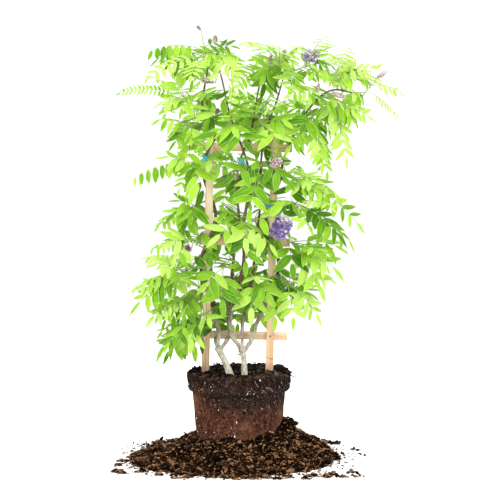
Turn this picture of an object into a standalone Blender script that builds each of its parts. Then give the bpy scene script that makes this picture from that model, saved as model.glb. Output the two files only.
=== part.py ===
"""Wisteria in a fibre pot, trained on a ladder trellis, with loose compost heaped round the pot.

Metres, +Z up, +X right, -Y front; the origin is the centre of the pot's flat base. The plant
itself (canes, shoots, leaves, flower heads) is laid out in millimetres, scaled by MM on reading.
"""

import math
import random

import bmesh
import bpy
from mathutils import Matrix, Vector, noise
from mathutils.bvhtree import BVHTree
from mathutils.geometry import convex_hull_2d

MM = 0.001
GAP = 0.0003  # what touching pieces keep between their faces
JOIN_WELD = 0.00005  # points this close after a join or a cut become one
SEED = 11

# ---------------------------------------------------------------- pot and compost, in metres
POT_SIDES = 40
POT_HEIGHT = 0.230
POT_BASE_RADIUS = 0.110
POT_NECK_RADIUS = 0.1265  # the body just under the collar
COLLAR_RADIUS = 0.140
COLLAR_HEIGHT = 0.043
POT_WALL = 0.005
POT_FLOOR = 0.007
DRAIN_RADIUS, DRAIN_RING, DRAIN_COUNT = 0.0065, 0.070, 4

SOIL_CROWN = 0.018  # how far the compost is heaped above the rim at the middle
SOIL_LUMPS = 0.007
HEAP_RADIUS = {"right": 0.272, "back": 0.285, "left": 0.320, "front": 0.300}
HEAP_HEIGHT = {"right": 0.096, "back": 0.070, "left": 0.064, "front": 0.068}
HEAP_EDGE = 0.003
HEAP_LUMPS = 0.006
HEAP_FALL = {"right": 0.85, "back": 1.3, "left": 1.4, "front": 1.4}  # above 1, a hollow slope

NAIL_RADIUS, NAIL_HEAD_RADIUS, NAIL_HEAD = 0.0011, 0.0032, 0.0012
TIE_HEIGHT, TIE_THICK, TIE_SLACK = 0.012, 0.0009, 0.0007
TIE_SPAN = 8.0  # a tie goes round its cane's axis this many millimetres above and below
TIE_SIDES = 12
TIE_ON_RAIL = 0.012
KNOT, KNOT_SUNK = (0.010, 0.008, 0.010), 0.0005
TAIL_RADII = (0.0016, 0.0014, 0.0010)

# ---------------------------------------------------------------- plant layout, in millimetres
SOIL_Z = 224.0  # the soil surface at the pot's axis
LEAN = 0.0235  # how far the trellis leans to the right, per unit of height
POST_X = (-91.0, 82.0)  # the two posts where they leave the soil
POST_WIDTH, POST_THICK = 21.0, 8.0
POST_BOTTOM, POST_TOP = 60.0, 897.0
RAIL_Z, RAIL_PITCH, RAIL_COUNT = 332.0, 254.0, 3  # the lowest rail, then one every 10 inches
RAIL_HEIGHT, RAIL_THICK, RAIL_ENDS = 22.0, 6.0, (-111.0, 129.0)
TWINE_RADIUS = 18.5  # a cane's axis from the post's axis
TWINE_STEP = 22.0  # height between two points of a twining cane


def lean(x, y, z):
    """A point of the trellis, which leans about the soil line."""
    a = math.atan(LEAN)
    return Vector((
        x * math.cos(a) + (z - SOIL_Z) * math.sin(a),
        y,
        SOIL_Z + (z - SOIL_Z) * math.cos(a) - x * math.sin(a),
    ))


def twine(post_x, z_from, z_to, turn):
    """A cane's points round a post: in front of it at each rail, behind it half way between."""
    points = []
    steps = round((z_to - z_from) / TWINE_STEP)
    for i in range(steps + 1):
        z = z_from + (z_to - z_from) * i / steps
        a = -math.pi / 2 + turn * 2 * math.pi * (z - RAIL_Z) / RAIL_PITCH
        points.append(tuple(lean(
            post_x + TWINE_RADIUS * math.cos(a), TWINE_RADIUS * math.sin(a), z
        )))
    return points


# Each cane: radius at its foot, radius at its end, and the points of its axis.
LEFT_TRUNK = (11.0, 7.5, [
    (-23, -50, 150), (-20, -50, 190), (-21, -49, 222), (-28, -45, 245), (-38, -37, 268),
    (-50, -27, 288), (-57, -19, 302),
])
LEFT_OUTER = (6.6, 2.2, [
    (-56, -18, 298), (-58, -19, 318), (-54, -19, 336), (-57, -16, 358), (-66, -9, 378),
    *twine(POST_X[0], 396, 872, 1),
    (-84, -10, 905), (-96, -6, 932), (-98, -4, 962), (-92, -2, 1000), (-84, 0, 1045), (-82, 2, 1080),
])
LEFT_INNER = (5.0, 1.8, [
    (-50, -19, 292), (-43, -17, 305), (-33, -12, 320), (-26, -7, 336), (-27, -6, 356),
    (-30, -8, 384), (-26, -9, 430), (-20, -10, 480), (-16, -12, 520), (-12, -15, 560),
    (-6, -16, 604), (0, -15, 650), (-4, -12, 700), (-6, -10, 750), (2, -9, 800), (14, -9, 832),
    (30, -8, 870), (40, -5, 920), (48, -2, 970), (60, 0, 1020), (80, 2, 1050),
])
RIGHT_TRUNK = (9.4, 7.2, [
    (17, -48, 150), (17, -48, 190), (16, -47, 222), (15, -42, 245), (14, -34, 268), (11, -26, 286),
    (8, -21, 303),
])
RIGHT_LEFT_ARM = (5.6, 1.8, [
    (9, -20, 296), (-3, -22, 311), (-15, -24, 327), (-22, -25, 345), (-24, -25, 372),
    (-15, -25, 410), (-2, -24, 450), (8, -24, 500), (14, -26, 550), (11, -27, 600), (15, -28, 650),
    (24, -27, 700), (28, -25, 750), (22, -24, 800), (5, -24, 850), (-15, -20, 900),
    (-30, -14, 950), (-40, -8, 1000), (-52, -4, 1050), (-60, -2, 1090),
])
RIGHT_MIDDLE_ARM = (4.4, 1.8, [
    (9, -20, 297), (9, -14, 325), (9, -9, 345), (11, -6, 375), (20, -5, 420), (32, -4, 470),
    (40, -4, 520), (44, -5, 570), (50, -5, 620), (56, -5, 670), (58, -5, 720), (58, -6, 770),
    (60, -7, 805), (64, -8, 842), (72, -6, 880), (85, -4, 920), (100, -2, 960), (112, 0, 1000),
    (122, 0, 1036),
])
RIGHT_OUTER = (6.0, 2.0, [
    (11, -20, 290), (24, -21, 306), (33, -20, 322), (40, -18, 340), (47, -14, 364), (58, -7, 386),
    *twine(POST_X[1], 404, 776, -1),
    (122, -6, 812), (134, -6, 842), (150, -6, 880), (168, -8, 915), (190, -10, 945),
    (212, -12, 970), (238, -13, 988), (265, -14, 993), (300, -15, 986), (332, -16, 976),
])
VINES = {
    "vine_left": [LEFT_TRUNK, LEFT_OUTER, LEFT_INNER],
    "vine_right": [RIGHT_TRUNK, RIGHT_LEFT_ARM, RIGHT_MIDDLE_ARM, RIGHT_OUTER],
}

# Leaflet lengths of the leaves' sizes.
LEAFLET = {"large": 64.0, "medium": 50.0, "small": 38.0, "young": 32.0, "tiny": 21.0}

# How far the foliage reaches to the left and to the right, as (height, left, right), and to the
# front and the back. FILL_LEAVES more leaves close the gaps inside it, FILL_LENGTH long.
REACH = [
    (300, -225, 10), (350, -245, 150), (415, -285, 240), (480, -300, 270), (550, -265, 305),
    (620, -230, 315), (685, -195, 315), (750, -220, 260), (820, -215, 265), (890, -230, 310),
    (950, -255, 345), (1020, -255, 390), (1075, -240, 330), (1115, -200, 300),
]
REACH_FRONT, REACH_BACK = -165.0, 205.0
FILL_LEAVES = 250
FILL_TRIES = 10
FILL_LENGTH = (80.0, 230.0)
FILL_WEIGHTS = Vector((1.0, 0.55, 1.0))  # a gap counts for less from front to back
FILL_MIDDLE = 0.66  # the middle of a leaf's blade, as a share of its length

# Each shoot: its axis from the cane outwards, and its own leaves as (place along it, tip, size).
SHOOTS = {
    "shoot_crown_left": ([(-83, 1, 1062), (-94, -6, 1084), (-92, -8, 1108)], [
        (0.4, (-226, -26, 1034), "medium"), (0.8, (-238, -8, 1096), "young"),
        (1.0, (-20, 24, 1122), "small"), (0.6, (-46, -50, 1066), "small")]),
    "shoot_left_high": ([(-98, -4, 958), (-126, -14, 966), (-152, -20, 976)], [
        (0.7, (-336, -8, 980), "tiny"), (1.0, (-192, -34, 1052), "medium"),
        (0.9, (-242, -40, 934), "medium"), (0.75, (-164, -52, 900), "medium")]),
    "shoot_left_shoulder": ([(-94, -7, 928), (-114, -16, 904), (-132, -22, 892)], [
        (1.0, (-214, -26, 862), "medium"), (0.7, (-196, -62, 812), "medium"),
        (0.8, (-176, 70, 890), "medium")]),
    "shoot_left_upper": ([(-96, -8, 800), (-112, -14, 802), (-128, -18, 794)], [
        (1.0, (-284, -12, 756), "young"), (0.7, (-170, -58, 696), "young"),
        (0.6, (-202, 84, 752), "medium")]),
    "shoot_left_mid": ([(-70, 16, 690), (-100, 18, 692), (-124, 2, 674)], [
        (1.0, (-220, -34, 636), "large"), (0.8, (-204, -8, 694), "medium"),
        (0.6, (-168, 80, 640), "medium"), (0.7, (-140, -110, 628), "large")]),
    "shoot_left_low_mid": ([(-100, -8, 604), (-112, -16, 600), (-126, -24, 590)], [
        (1.0, (-224, -50, 566), "large"), (0.8, (-260, -6, 552), "young"),
        (0.7, (-194, -84, 506), "medium"), (0.5, (-210, 92, 560), "medium")]),
    "shoot_left_low": ([(-96, -10, 522), (-120, -16, 518), (-150, -22, 502)], [
        (1.0, (-318, -30, 440), "medium"), (0.7, (-196, -78, 412), "medium"),
        (0.6, (-236, 74, 456), "medium")]),
    "shoot_left_lower": ([(-88, 18, 455), (-110, 14, 452), (-124, -10, 438)], [
        (1.0, (-230, -34, 332), "medium"), (0.7, (-160, -88, 352), "medium"),
        (0.5, (-196, 92, 372), "medium")]),
    "shoot_left_bottom": ([(-74, -14, 402), (-92, -26, 394), (-112, -30, 376)], [
        (1.0, (-224, -30, 228), "large"), (0.7, (-128, -60, 236), "large"),
        (0.6, (-196, 56, 288), "medium")]),
    "shoot_right_tip": ([(330, -16, 976), (342, -17, 992), (356, -17, 1007)], [
        (0.9, (456, -22, 968), "young"), (0.4, (446, 4, 898), "tiny")]),
    "shoot_right_top": ([(262, -14, 993), (266, -18, 1014), (258, -18, 1040)], [
        (0.8, (352, -34, 1000), "medium"), (1.0, (312, 16, 1078), "young"),
        (0.6, (318, 34, 1020), "medium"), (0.5, (208, -60, 996), "medium")]),
    "shoot_right_outer": ([(238, -13, 988), (248, -22, 966), (258, -26, 948)], [
        (1.0, (378, -22, 898), "small"), (0.9, (296, -40, 752), "medium"),
        (0.6, (240, -70, 880), "medium"), (0.7, (330, 60, 900), "medium")]),
    "shoot_right_high": ([(190, -10, 945), (196, -26, 930), (200, -34, 908)], [
        (1.0, (222, -66, 812), "medium"), (0.7, (150, -110, 858), "large"),
        (0.5, (286, 40, 842), "medium"), (0.6, (206, 100, 856), "medium")]),
    "shoot_right_upper": ([(108, -8, 765), (126, -14, 764), (148, -20, 756)], [
        (1.0, (312, -26, 676), "large"), (0.8, (270, 62, 712), "medium"),
        (0.7, (190, -92, 690), "medium"), (0.6, (180, 60, 800), "medium")]),
    "shoot_right_mid": ([(112, -8, 692), (130, -16, 694), (152, -24, 690)], [
        (1.0, (332, -40, 548), "medium"), (0.8, (206, -94, 590), "medium"),
        (0.6, (230, 92, 600), "medium")]),
    "shoot_right_low_mid": ([(106, -10, 602), (122, -22, 598), (146, -32, 580)], [
        (1.0, (246, -52, 402), "large"), (0.8, (270, 30, 480), "medium"),
        (0.6, (150, -108, 468), "large")]),
    "shoot_right_low": ([(100, -10, 492), (116, -20, 488), (136, -30, 472)], [
        (1.0, (238, -34, 344), "medium"), (0.8, (152, -84, 332), "medium"),
        (0.6, (226, 74, 408), "medium"), (0.4, (92, -84, 330), "medium")]),
    "shoot_crown_mid": ([(-59, -2, 1084), (-56, 2, 1098), (-66, 2, 1108)], [
        (0.5, (-140, 34, 1058), "medium"), (0.9, (14, -12, 1100), "small"),
        (0.4, (-20, -56, 1008), "medium")]),
    "shoot_crown": ([(78, 2, 1048), (96, -2, 1056), (112, -2, 1068)], [
        (0.6, (44, -52, 992), "medium"), (0.8, (150, -46, 984), "medium"),
        (0.4, (20, 40, 1040), "medium"), (1.0, (70, -20, 1118), "small")]),
    "shoot_crown_right": ([(122, 0, 1032), (150, -4, 1046), (184, -6, 1056)], [
        (0.5, (130, -70, 950), "medium"), (0.8, (246, -36, 1000), "medium"),
        (0.6, (216, 72, 1010), "medium"), (1.0, (280, 30, 1052), "small")]),
    "shoot_front_top": ([(-15, -22, 900), (-22, -56, 904), (-28, -84, 898)], [
        (0.9, (-104, -130, 812), "large"), (1.0, (46, -160, 802), "large"),
        (0.6, (-134, -66, 950), "large"), (0.5, (60, -90, 950), "large")]),
    "shoot_front_high": ([(32, -8, 876), (50, -44, 896), (62, -74, 902)], [
        (0.9, (170, -116, 900), "large"), (1.0, (128, -150, 800), "large"),
        (0.6, (100, -70, 1004), "medium")]),
    "shoot_front_upper": ([(58, -6, 790), (66, -50, 800), (58, -88, 792)], [
        (1.0, (18, -150, 606), "large"), (0.8, (160, -130, 716), "large"),
        (0.7, (-56, -120, 730), "large")]),
    "shoot_front_mid": ([(14, -28, 642), (6, -66, 650), (14, -96, 636)], [
        (1.0, (22, -156, 470), "large"), (0.8, (124, -130, 530), "large"),
        (0.7, (-92, -124, 560), "large")]),
    "shoot_front_low_mid": ([(-17, -12, 520), (-32, -54, 528), (-42, -82, 518)], [
        (0.9, (-120, -130, 430), "large"), (1.0, (-44, -150, 372), "large"),
        (0.6, (-130, -70, 584), "large")]),
    "shoot_front_low": ([(8, -25, 500), (26, -58, 506), (44, -84, 494)], [
        (0.9, (106, -132, 402), "large"), (1.0, (28, -136, 348), "large"),
        (0.6, (110, -90, 600), "medium")]),
    "shoot_back_top": ([(85, -4, 920), (80, 46, 934), (66, 88, 930)], [
        (1.0, (20, 196, 850), "medium"), (0.8, (150, 180, 880), "medium"),
        (0.6, (-60, 110, 960), "medium"), (0.5, (170, 100, 980), "medium")]),
    "shoot_back_high": ([(-3, -10, 766), (-4, 40, 782), (-10, 84, 776)], [
        (1.0, (-40, 210, 700), "large"), (0.8, (-130, 160, 780), "large"),
        (0.6, (100, 180, 760), "large"), (0.5, (-80, 120, 860), "medium")]),
    "shoot_back_mid": ([(50, -5, 622), (44, 40, 640), (36, 84, 636)], [
        (1.0, (20, 210, 560), "large"), (0.8, (-90, 180, 620), "large"),
        (0.6, (150, 170, 620), "large"), (0.5, (90, 130, 520), "medium")]),
    "shoot_back_low": ([(-22, -10, 462), (-16, 40, 484), (-8, 80, 480)], [
        (1.0, (-10, 200, 390), "large"), (0.8, (-130, 150, 430), "large"),
        (0.6, (110, 160, 440), "large"), (0.5, (40, 110, 350), "medium")]),
}

# Each flower head: where its stalk starts, its foot, its tip and its greatest radius.
FLOWERS = {
    "raceme_open": ((98, -20, 560), (96, -66, 600), (128, -96, 656), 30.0),
    "raceme_pale": ((60, -50, 796), (84, -78, 790), (110, -112, 806), 19.0),
    "raceme_crown": ((184, -6, 1056), (189, -8, 1066), (196, -12, 1100), 21.0),
    "raceme_top": ((112, -2, 1068), (118, -4, 1072), (124, -6, 1104), 9.5),
    "raceme_left": ((-58, -6, 1030), (-64, -24, 1012), (-104, -34, 1022), 11.0),
    "raceme_right": ((356, -17, 1007), (368, -18, 1024), (394, -20, 1042), 10.5),
    "bud_left_mid": ((-124, -20, 580), (-130, -44, 562), (-140, -56, 582), 9.5),
    "bud_highest": ((-92, -8, 1108), (-100, -10, 1150), (-112, -12, 1164), 6.0),
    "bud_left_high": ((-80, -14, 900), (-62, -34, 922), (-54, -40, 944), 8.0),
}

LEAF_RISE = 0.20  # how high the rachis arches, as a share of the leaf's length
LEAF_TILT = 1.2  # how far a leaf's upper face turns outwards from straight up
LEAF_TILT_RISING = 0.4
LEAF_SPREAD = 3.0  # how far that turn is to the side, per metre from the plant's middle
LEAF_PART = 0.02  # leaves further back than this face backwards
BLADE_SHARE = 0.60  # the blade's half width, as a share of its leaflets' length
BLADE_START = 0.14  # where the bare leafstalk ends and the blade starts
BLADE_SECTIONS = ((BLADE_START, 0.0), (0.36, 0.95), (0.68, 0.9))  # (place, share of the width)
BLADE_RIDGE = 0.09  # the ridge's height over the blade's edges, as a share of the half width
STALK_HALF = 0.0008
STALK_FREE = 0.035  # past this share of its length, a leaf touches none of its shoot's others
STEM_RADII = (0.0019, 0.0023, 0.0021)
LAST_PLACE = 0.93  # the last leaf leaves the stem this far along it
STALK_RADIUS, STALK_SET_IN = 0.0011, 0.2  # a flower stalk, and how far it runs into its head
HEAD_SIDES, HEAD_RINGS = 8, 6

# Tries for a leaf that would touch another piece: its foot moves along the stem by the first
# number, and its tip by the millimetres after it.
NUDGES = [(0.0, (0, 0, 0)), (-0.09, (0, 0, 0)), (0.09, (0, 0, 0)), (-0.18, (0, 0, 0))]
for step in (14, 28, 42, 56):
    for shift in (0.0, -0.09, 0.09):
        NUDGES += [(shift, (0, step, 0)), (shift, (0, -step, 0)), (shift, (0, step / 2, step / 2))]
        NUDGES += [(shift, (0, -step / 2, -step / 2)), (shift, (step / 2, 0, -step / 2))]

# Each tie: the post it holds (None for the rail only), the cane, its height, the side its knot
# is on, and the length of its hanging end in metres.
TIES = {
    "tie_left": (POST_X[0], LEFT_OUTER, 812, -1, 0.030),
    "tie_centre": (None, LEFT_INNER, 808, 1, 0.022),
    "tie_right_upper": (POST_X[1], RIGHT_OUTER, 682, 1, 0.016),
    "tie_right_lower": (POST_X[1], RIGHT_OUTER, 443, 1, 0.016),
}


# ---------------------------------------------------------------- scene, materials, meshes

def clear_scene():
    for obj in list(bpy.data.objects):
        bpy.data.objects.remove(obj, do_unlink=True)


def collection(name, hidden=False):
    made = bpy.data.collections.new(name)
    made.hide_render = hidden
    bpy.context.scene.collection.children.link(made)
    return made


def material(name, colour, roughness):
    made = bpy.data.materials.new(name)
    made.use_nodes = True
    shader = made.node_tree.nodes["Principled BSDF"]
    shader.inputs["Base Color"].default_value = (*colour, 1.0)
    shader.inputs["Roughness"].default_value = roughness
    return made


def make(name, mesh, where, look, smooth_angle=40):
    """A finished part: its mesh, its own material, and its place in the collection."""
    obj = bpy.data.objects.new(name, mesh)
    where.objects.link(obj)
    mesh.materials.clear()
    mesh.materials.append(material(name, *look))
    mesh.shade_smooth()
    mesh.set_sharp_from_angle(angle=math.radians(smooth_angle))
    return obj


def evaluated_mesh(obj):
    """A new mesh with the object's modifiers or bevel applied, and the object removed."""
    graph = bpy.context.evaluated_depsgraph_get()
    mesh = bpy.data.meshes.new_from_object(obj.evaluated_get(graph))
    mesh.transform(obj.matrix_world)
    bpy.data.objects.remove(obj, do_unlink=True)
    return mesh


def helper(name, data):
    """A short-lived object, linked so that its modifiers can be evaluated."""
    obj = bpy.data.objects.new(name, data)
    bpy.context.scene.collection.objects.link(obj)
    return obj


def weld(mesh, distance=1e-6, turn_out=True):
    """Makes one point of those within the distance, and turns the faces out."""
    shape = bmesh.new()
    shape.from_mesh(mesh)
    bmesh.ops.remove_doubles(shape, verts=shape.verts, dist=distance)
    bmesh.ops.dissolve_degenerate(shape, edges=shape.edges, dist=distance)
    if turn_out:
        bmesh.ops.recalc_face_normals(shape, faces=shape.faces)
    shape.to_mesh(mesh)
    shape.free()
    return mesh


def boolean(operation, mesh, others):
    """The mesh joined with, or cut by, each of the others in turn."""
    body = helper("body", mesh)
    tools = []
    for i, other in enumerate(others):
        tools.append(helper(f"tool_{i}", other))
        step = body.modifiers.new(f"{operation}_{i}", "BOOLEAN")
        step.operation = operation
        step.solver = "EXACT"
        step.object = tools[-1]
    result = evaluated_mesh(body)
    for tool in tools:
        bpy.data.objects.remove(tool, do_unlink=True)
    return weld(result, JOIN_WELD, turn_out=False)


def tube(points, radii, resolution=1):
    """A closed tube along the points; its section has 4 + 2 * resolution sides."""
    curve = bpy.data.curves.new("tube", "CURVE")
    curve.dimensions = "3D"
    curve.bevel_depth = 1.0
    curve.bevel_resolution = resolution
    curve.use_fill_caps = True
    spline = curve.splines.new("POLY")
    spline.points.add(len(points) - 1)
    for control, place, radius in zip(spline.points, points, radii):
        control.co = (*place, 1.0)
        control.radius = radius
    return weld(evaluated_mesh(helper("tube", curve)))


def box(low, high, bevel=0.0):
    """An upright box between two corners, with its edges softened."""
    shape = bmesh.new()
    low, high = Vector(low), Vector(high)
    size = high - low
    bmesh.ops.create_cube(
        shape, size=1.0, matrix=Matrix.LocRotScale((low + high) / 2, None, size)
    )
    if bevel:
        bmesh.ops.bevel(
            shape, geom=shape.edges[:], offset=bevel, segments=1, affect="EDGES"
        )
    mesh = bpy.data.meshes.new("box")
    shape.to_mesh(mesh)
    shape.free()
    return mesh


def rod(start, end, radius, sides=8):
    """A closed cylinder between two points."""
    start, end = Vector(start), Vector(end)
    turn = (end - start).to_track_quat("Z", "Y")
    shape = bmesh.new()
    bmesh.ops.create_cone(
        shape, cap_ends=True, segments=sides, radius1=radius, radius2=radius,
        depth=(end - start).length, matrix=Matrix.LocRotScale((start + end) / 2, turn, None),
    )
    mesh = bpy.data.meshes.new("rod")
    shape.to_mesh(mesh)
    shape.free()
    return mesh


def turned(profile, sides):
    """A profile of (radius, height) points turned about Z, from inside over the top and down."""
    mesh = bpy.data.meshes.new("profile")
    points = [(radius, 0.0, height) for radius, height in profile]
    edges = [(i, i + 1) for i in range(len(points) - 1)]
    if profile[0][0] > 0:
        edges.append((len(points) - 1, 0))
    mesh.from_pydata(points, edges, [])
    obj = helper("profile", mesh)
    screw = obj.modifiers.new("turn", "SCREW")
    screw.steps = screw.render_steps = sides
    screw.use_merge_vertices = True
    screw.merge_threshold = 0.0001
    return weld(evaluated_mesh(obj))


def tree_of(mesh, swell=0.0):
    """A search tree of the mesh's faces, with every point moved out along its normal by swell."""
    points = [v.co + v.normal * swell for v in mesh.vertices]
    faces = [tuple(p.vertices) for p in mesh.polygons]
    return BVHTree.FromPolygons(points, faces)


def lean_matrix():
    """The trellis leans to the right about the soil line."""
    pivot = Matrix.Translation((0, 0, SOIL_Z * MM))
    return pivot @ Matrix.Rotation(math.atan(LEAN), 4, "Y") @ pivot.inverted()


# ---------------------------------------------------------------- pot, compost and heap

def pot_radius(height):
    """Outer radius of the pot's tapered body."""
    neck = POT_HEIGHT - COLLAR_HEIGHT
    return POT_BASE_RADIUS + (POT_NECK_RADIUS - POT_BASE_RADIUS) * min(height / neck, 1.0)


def build_pot(where):
    neck = POT_HEIGHT - COLLAR_HEIGHT
    inner = COLLAR_RADIUS - POT_WALL
    profile = [
        (0.0, POT_FLOOR),
        (pot_radius(POT_FLOOR) - POT_WALL, POT_FLOOR),
        (POT_NECK_RADIUS - POT_WALL, neck - 0.002),
        (inner - 0.002, neck + 0.008),
        (inner, POT_HEIGHT - 0.001),
        (inner + 0.0015, POT_HEIGHT),
        (COLLAR_RADIUS - 0.0015, POT_HEIGHT),
        (COLLAR_RADIUS, POT_HEIGHT - 0.002),
        (COLLAR_RADIUS - 0.002, neck + 0.003),
        (COLLAR_RADIUS - 0.005, neck),
        (POT_NECK_RADIUS, neck - 0.002),
        (pot_radius(0.004), 0.004),
        (POT_BASE_RADIUS - 0.003, 0.0),
        (0.0, 0.0),
    ]
    drains = []
    for i in range(DRAIN_COUNT):
        a = math.pi / 4 + 2 * math.pi * i / DRAIN_COUNT
        x, y = DRAIN_RING * math.cos(a), DRAIN_RING * math.sin(a)
        drains.append(rod((x, y, -0.004), (x, y, POT_FLOOR + 0.004), DRAIN_RADIUS, 12))
    mesh = boolean("DIFFERENCE", turned(profile, POT_SIDES), drains)
    return make("pot", mesh, where, ((0.16, 0.075, 0.05), 0.95))


def build_soil(where, cutters):
    """Compost that fills the pot, heaped and lumpy on top, with the trunks and posts set in it."""
    neck = POT_HEIGHT - COLLAR_HEIGHT
    inner = COLLAR_RADIUS - POT_WALL - GAP
    edge = POT_HEIGHT - 0.003
    profile = [(0.0, POT_HEIGHT + SOIL_CROWN)]
    for share in (0.3, 0.55, 0.78, 0.93):
        profile.append((inner * share, POT_HEIGHT + SOIL_CROWN * (1 - share ** 2)))
    profile += [
        (inner - 0.0015, edge),
        (inner - 0.0022, neck + 0.0085),
        (POT_NECK_RADIUS - POT_WALL - 2 * GAP, neck - 0.0025),
        (pot_radius(POT_FLOOR) - POT_WALL - 2 * GAP, POT_FLOOR + GAP),
        (0.0, POT_FLOOR + GAP),
    ]
    mesh = turned(profile, POT_SIDES)
    for v in mesh.vertices:
        if v.co.z > edge + 0.001:
            rise = 1.0 - v.co.xy.length / inner
            lump = noise.noise(v.co * 28) * SOIL_LUMPS * (0.35 + rise)
            v.co.z = max(v.co.z + lump, edge + 0.001)
    return make("potting_soil", boolean("DIFFERENCE", mesh, cutters), where, ((0.03, 0.02, 0.014), 1.0))


def around(values, angle):
    """Four values given at right, back, left and front, blended smoothly by angle."""
    quarters = [values["right"], values["back"], values["left"], values["front"]]
    turn = (angle / (math.pi / 2)) % 4
    i = int(turn)
    share = (1 - math.cos(math.pi * (turn - i))) / 2
    return quarters[i % 4] * (1 - share) + quarters[(i + 1) % 4] * share


def build_heap(where):
    """Loose compost round the pot: a ring, high against the wall and thin at its ragged edge."""
    steps = (0.0, 0.14, 0.34, 0.56, 0.78, 0.94, 1.0)
    profile = [(1.0, 0.0)] + [(1.0 + step, 1.0) for step in steps] + [(2.0, 0.0)]
    mesh = turned(profile, POT_SIDES)
    for v in mesh.vertices:
        angle = math.atan2(v.co.y, v.co.x)
        out = min(max(v.co.xy.length - 1.0, 0.0), 1.0)
        ray = Vector((math.cos(angle), math.sin(angle), 0.0))
        height = 0.0
        if v.co.z > 0.5:
            crest = around(HEAP_HEIGHT, angle) * (1 + 0.12 * noise.noise(ray * 2.3))
            height = crest * (1 - out) ** around(HEAP_FALL, angle) + HEAP_EDGE * out
            if 0.01 < out < 0.97:
                lump = noise.noise(ray * 9 + Vector((0, 0, out * 4)))
                height += HEAP_LUMPS * lump * (1 - out * 0.6)
        ragged = 1 + 0.055 * noise.noise(ray * 4.1 + Vector((5, 0, 0)))
        inner = pot_radius(height) + GAP
        v.co = ray * (inner + (around(HEAP_RADIUS, angle) * ragged - inner) * out)
        v.co.z = height
    return make("spilled_soil", weld(mesh), where, ((0.05, 0.03, 0.018), 1.0))


# ---------------------------------------------------------------- trellis and ties

def crossing_places():
    for side, post_x in (("left", POST_X[0]), ("right", POST_X[1])):
        for i, level in zip(range(RAIL_COUNT), ("lower", "middle", "upper")):
            yield side, level, post_x * MM, (RAIL_Z + i * RAIL_PITCH) * MM


def build_trellis(where):
    """Two leaning posts, three rails behind them, and a nail through each crossing."""
    tilt = lean_matrix()
    half_width, half_thick = POST_WIDTH * MM / 2, POST_THICK * MM / 2
    rail_front = half_thick + GAP
    rail_back = rail_front + RAIL_THICK * MM
    nail_end = rail_back - 0.0015
    head_back = -half_thick - GAP
    holes = [
        rod((x, head_back - 0.002, z), (x, nail_end + GAP, z), NAIL_RADIUS + GAP)
        for _, _, x, z in crossing_places()
    ]
    pine = ((0.80, 0.52, 0.32), 0.7)
    for side, post_x in (("left", POST_X[0] * MM), ("right", POST_X[1] * MM)):
        post = box(
            (post_x - half_width, -half_thick, POST_BOTTOM * MM),
            (post_x + half_width, half_thick, POST_TOP * MM), 0.0008,
        )
        post = boolean("DIFFERENCE", post, [h.copy() for h in holes])
        post.transform(tilt)
        make(f"trellis_post_{side}", post, where, pine)
    for i, level in zip(range(RAIL_COUNT), ("lower", "middle", "upper")):
        z = (RAIL_Z + i * RAIL_PITCH) * MM
        half_height = RAIL_HEIGHT * MM / 2
        rail = box(
            (RAIL_ENDS[0] * MM, rail_front, z - half_height),
            (RAIL_ENDS[1] * MM, rail_back, z + half_height), 0.0008,
        )
        rail = boolean("DIFFERENCE", rail, [h.copy() for h in holes])
        rail.transform(tilt)
        make(f"trellis_rail_{level}", rail, where, pine)
    for side, level, x, z in crossing_places():
        shank = rod((x, head_back - NAIL_HEAD / 2, z), (x, nail_end, z), NAIL_RADIUS)
        head = rod((x, head_back - NAIL_HEAD, z), (x, head_back, z), NAIL_HEAD_RADIUS, 12)
        nail = boolean("UNION", head, [shank])
        nail.transform(tilt)
        make(f"nail_{side}_{level}", nail, where, ((0.30, 0.29, 0.28), 0.4), 30)


def cane_centre(cane, height):
    """Where the cane's axis crosses a height, and its radius there, in metres."""
    foot, end, points = cane
    for i in range(len(points) - 1):
        low, high = points[i], points[i + 1]
        if low[2] <= height <= high[2]:
            share = (height - low[2]) / (high[2] - low[2])
            radius = foot + (end - foot) * (i + share) / (len(points) - 1)
            return Vector(low).lerp(Vector(high), share) * MM, radius * MM
    raise ValueError(f"no cane at {height} mm")


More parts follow.
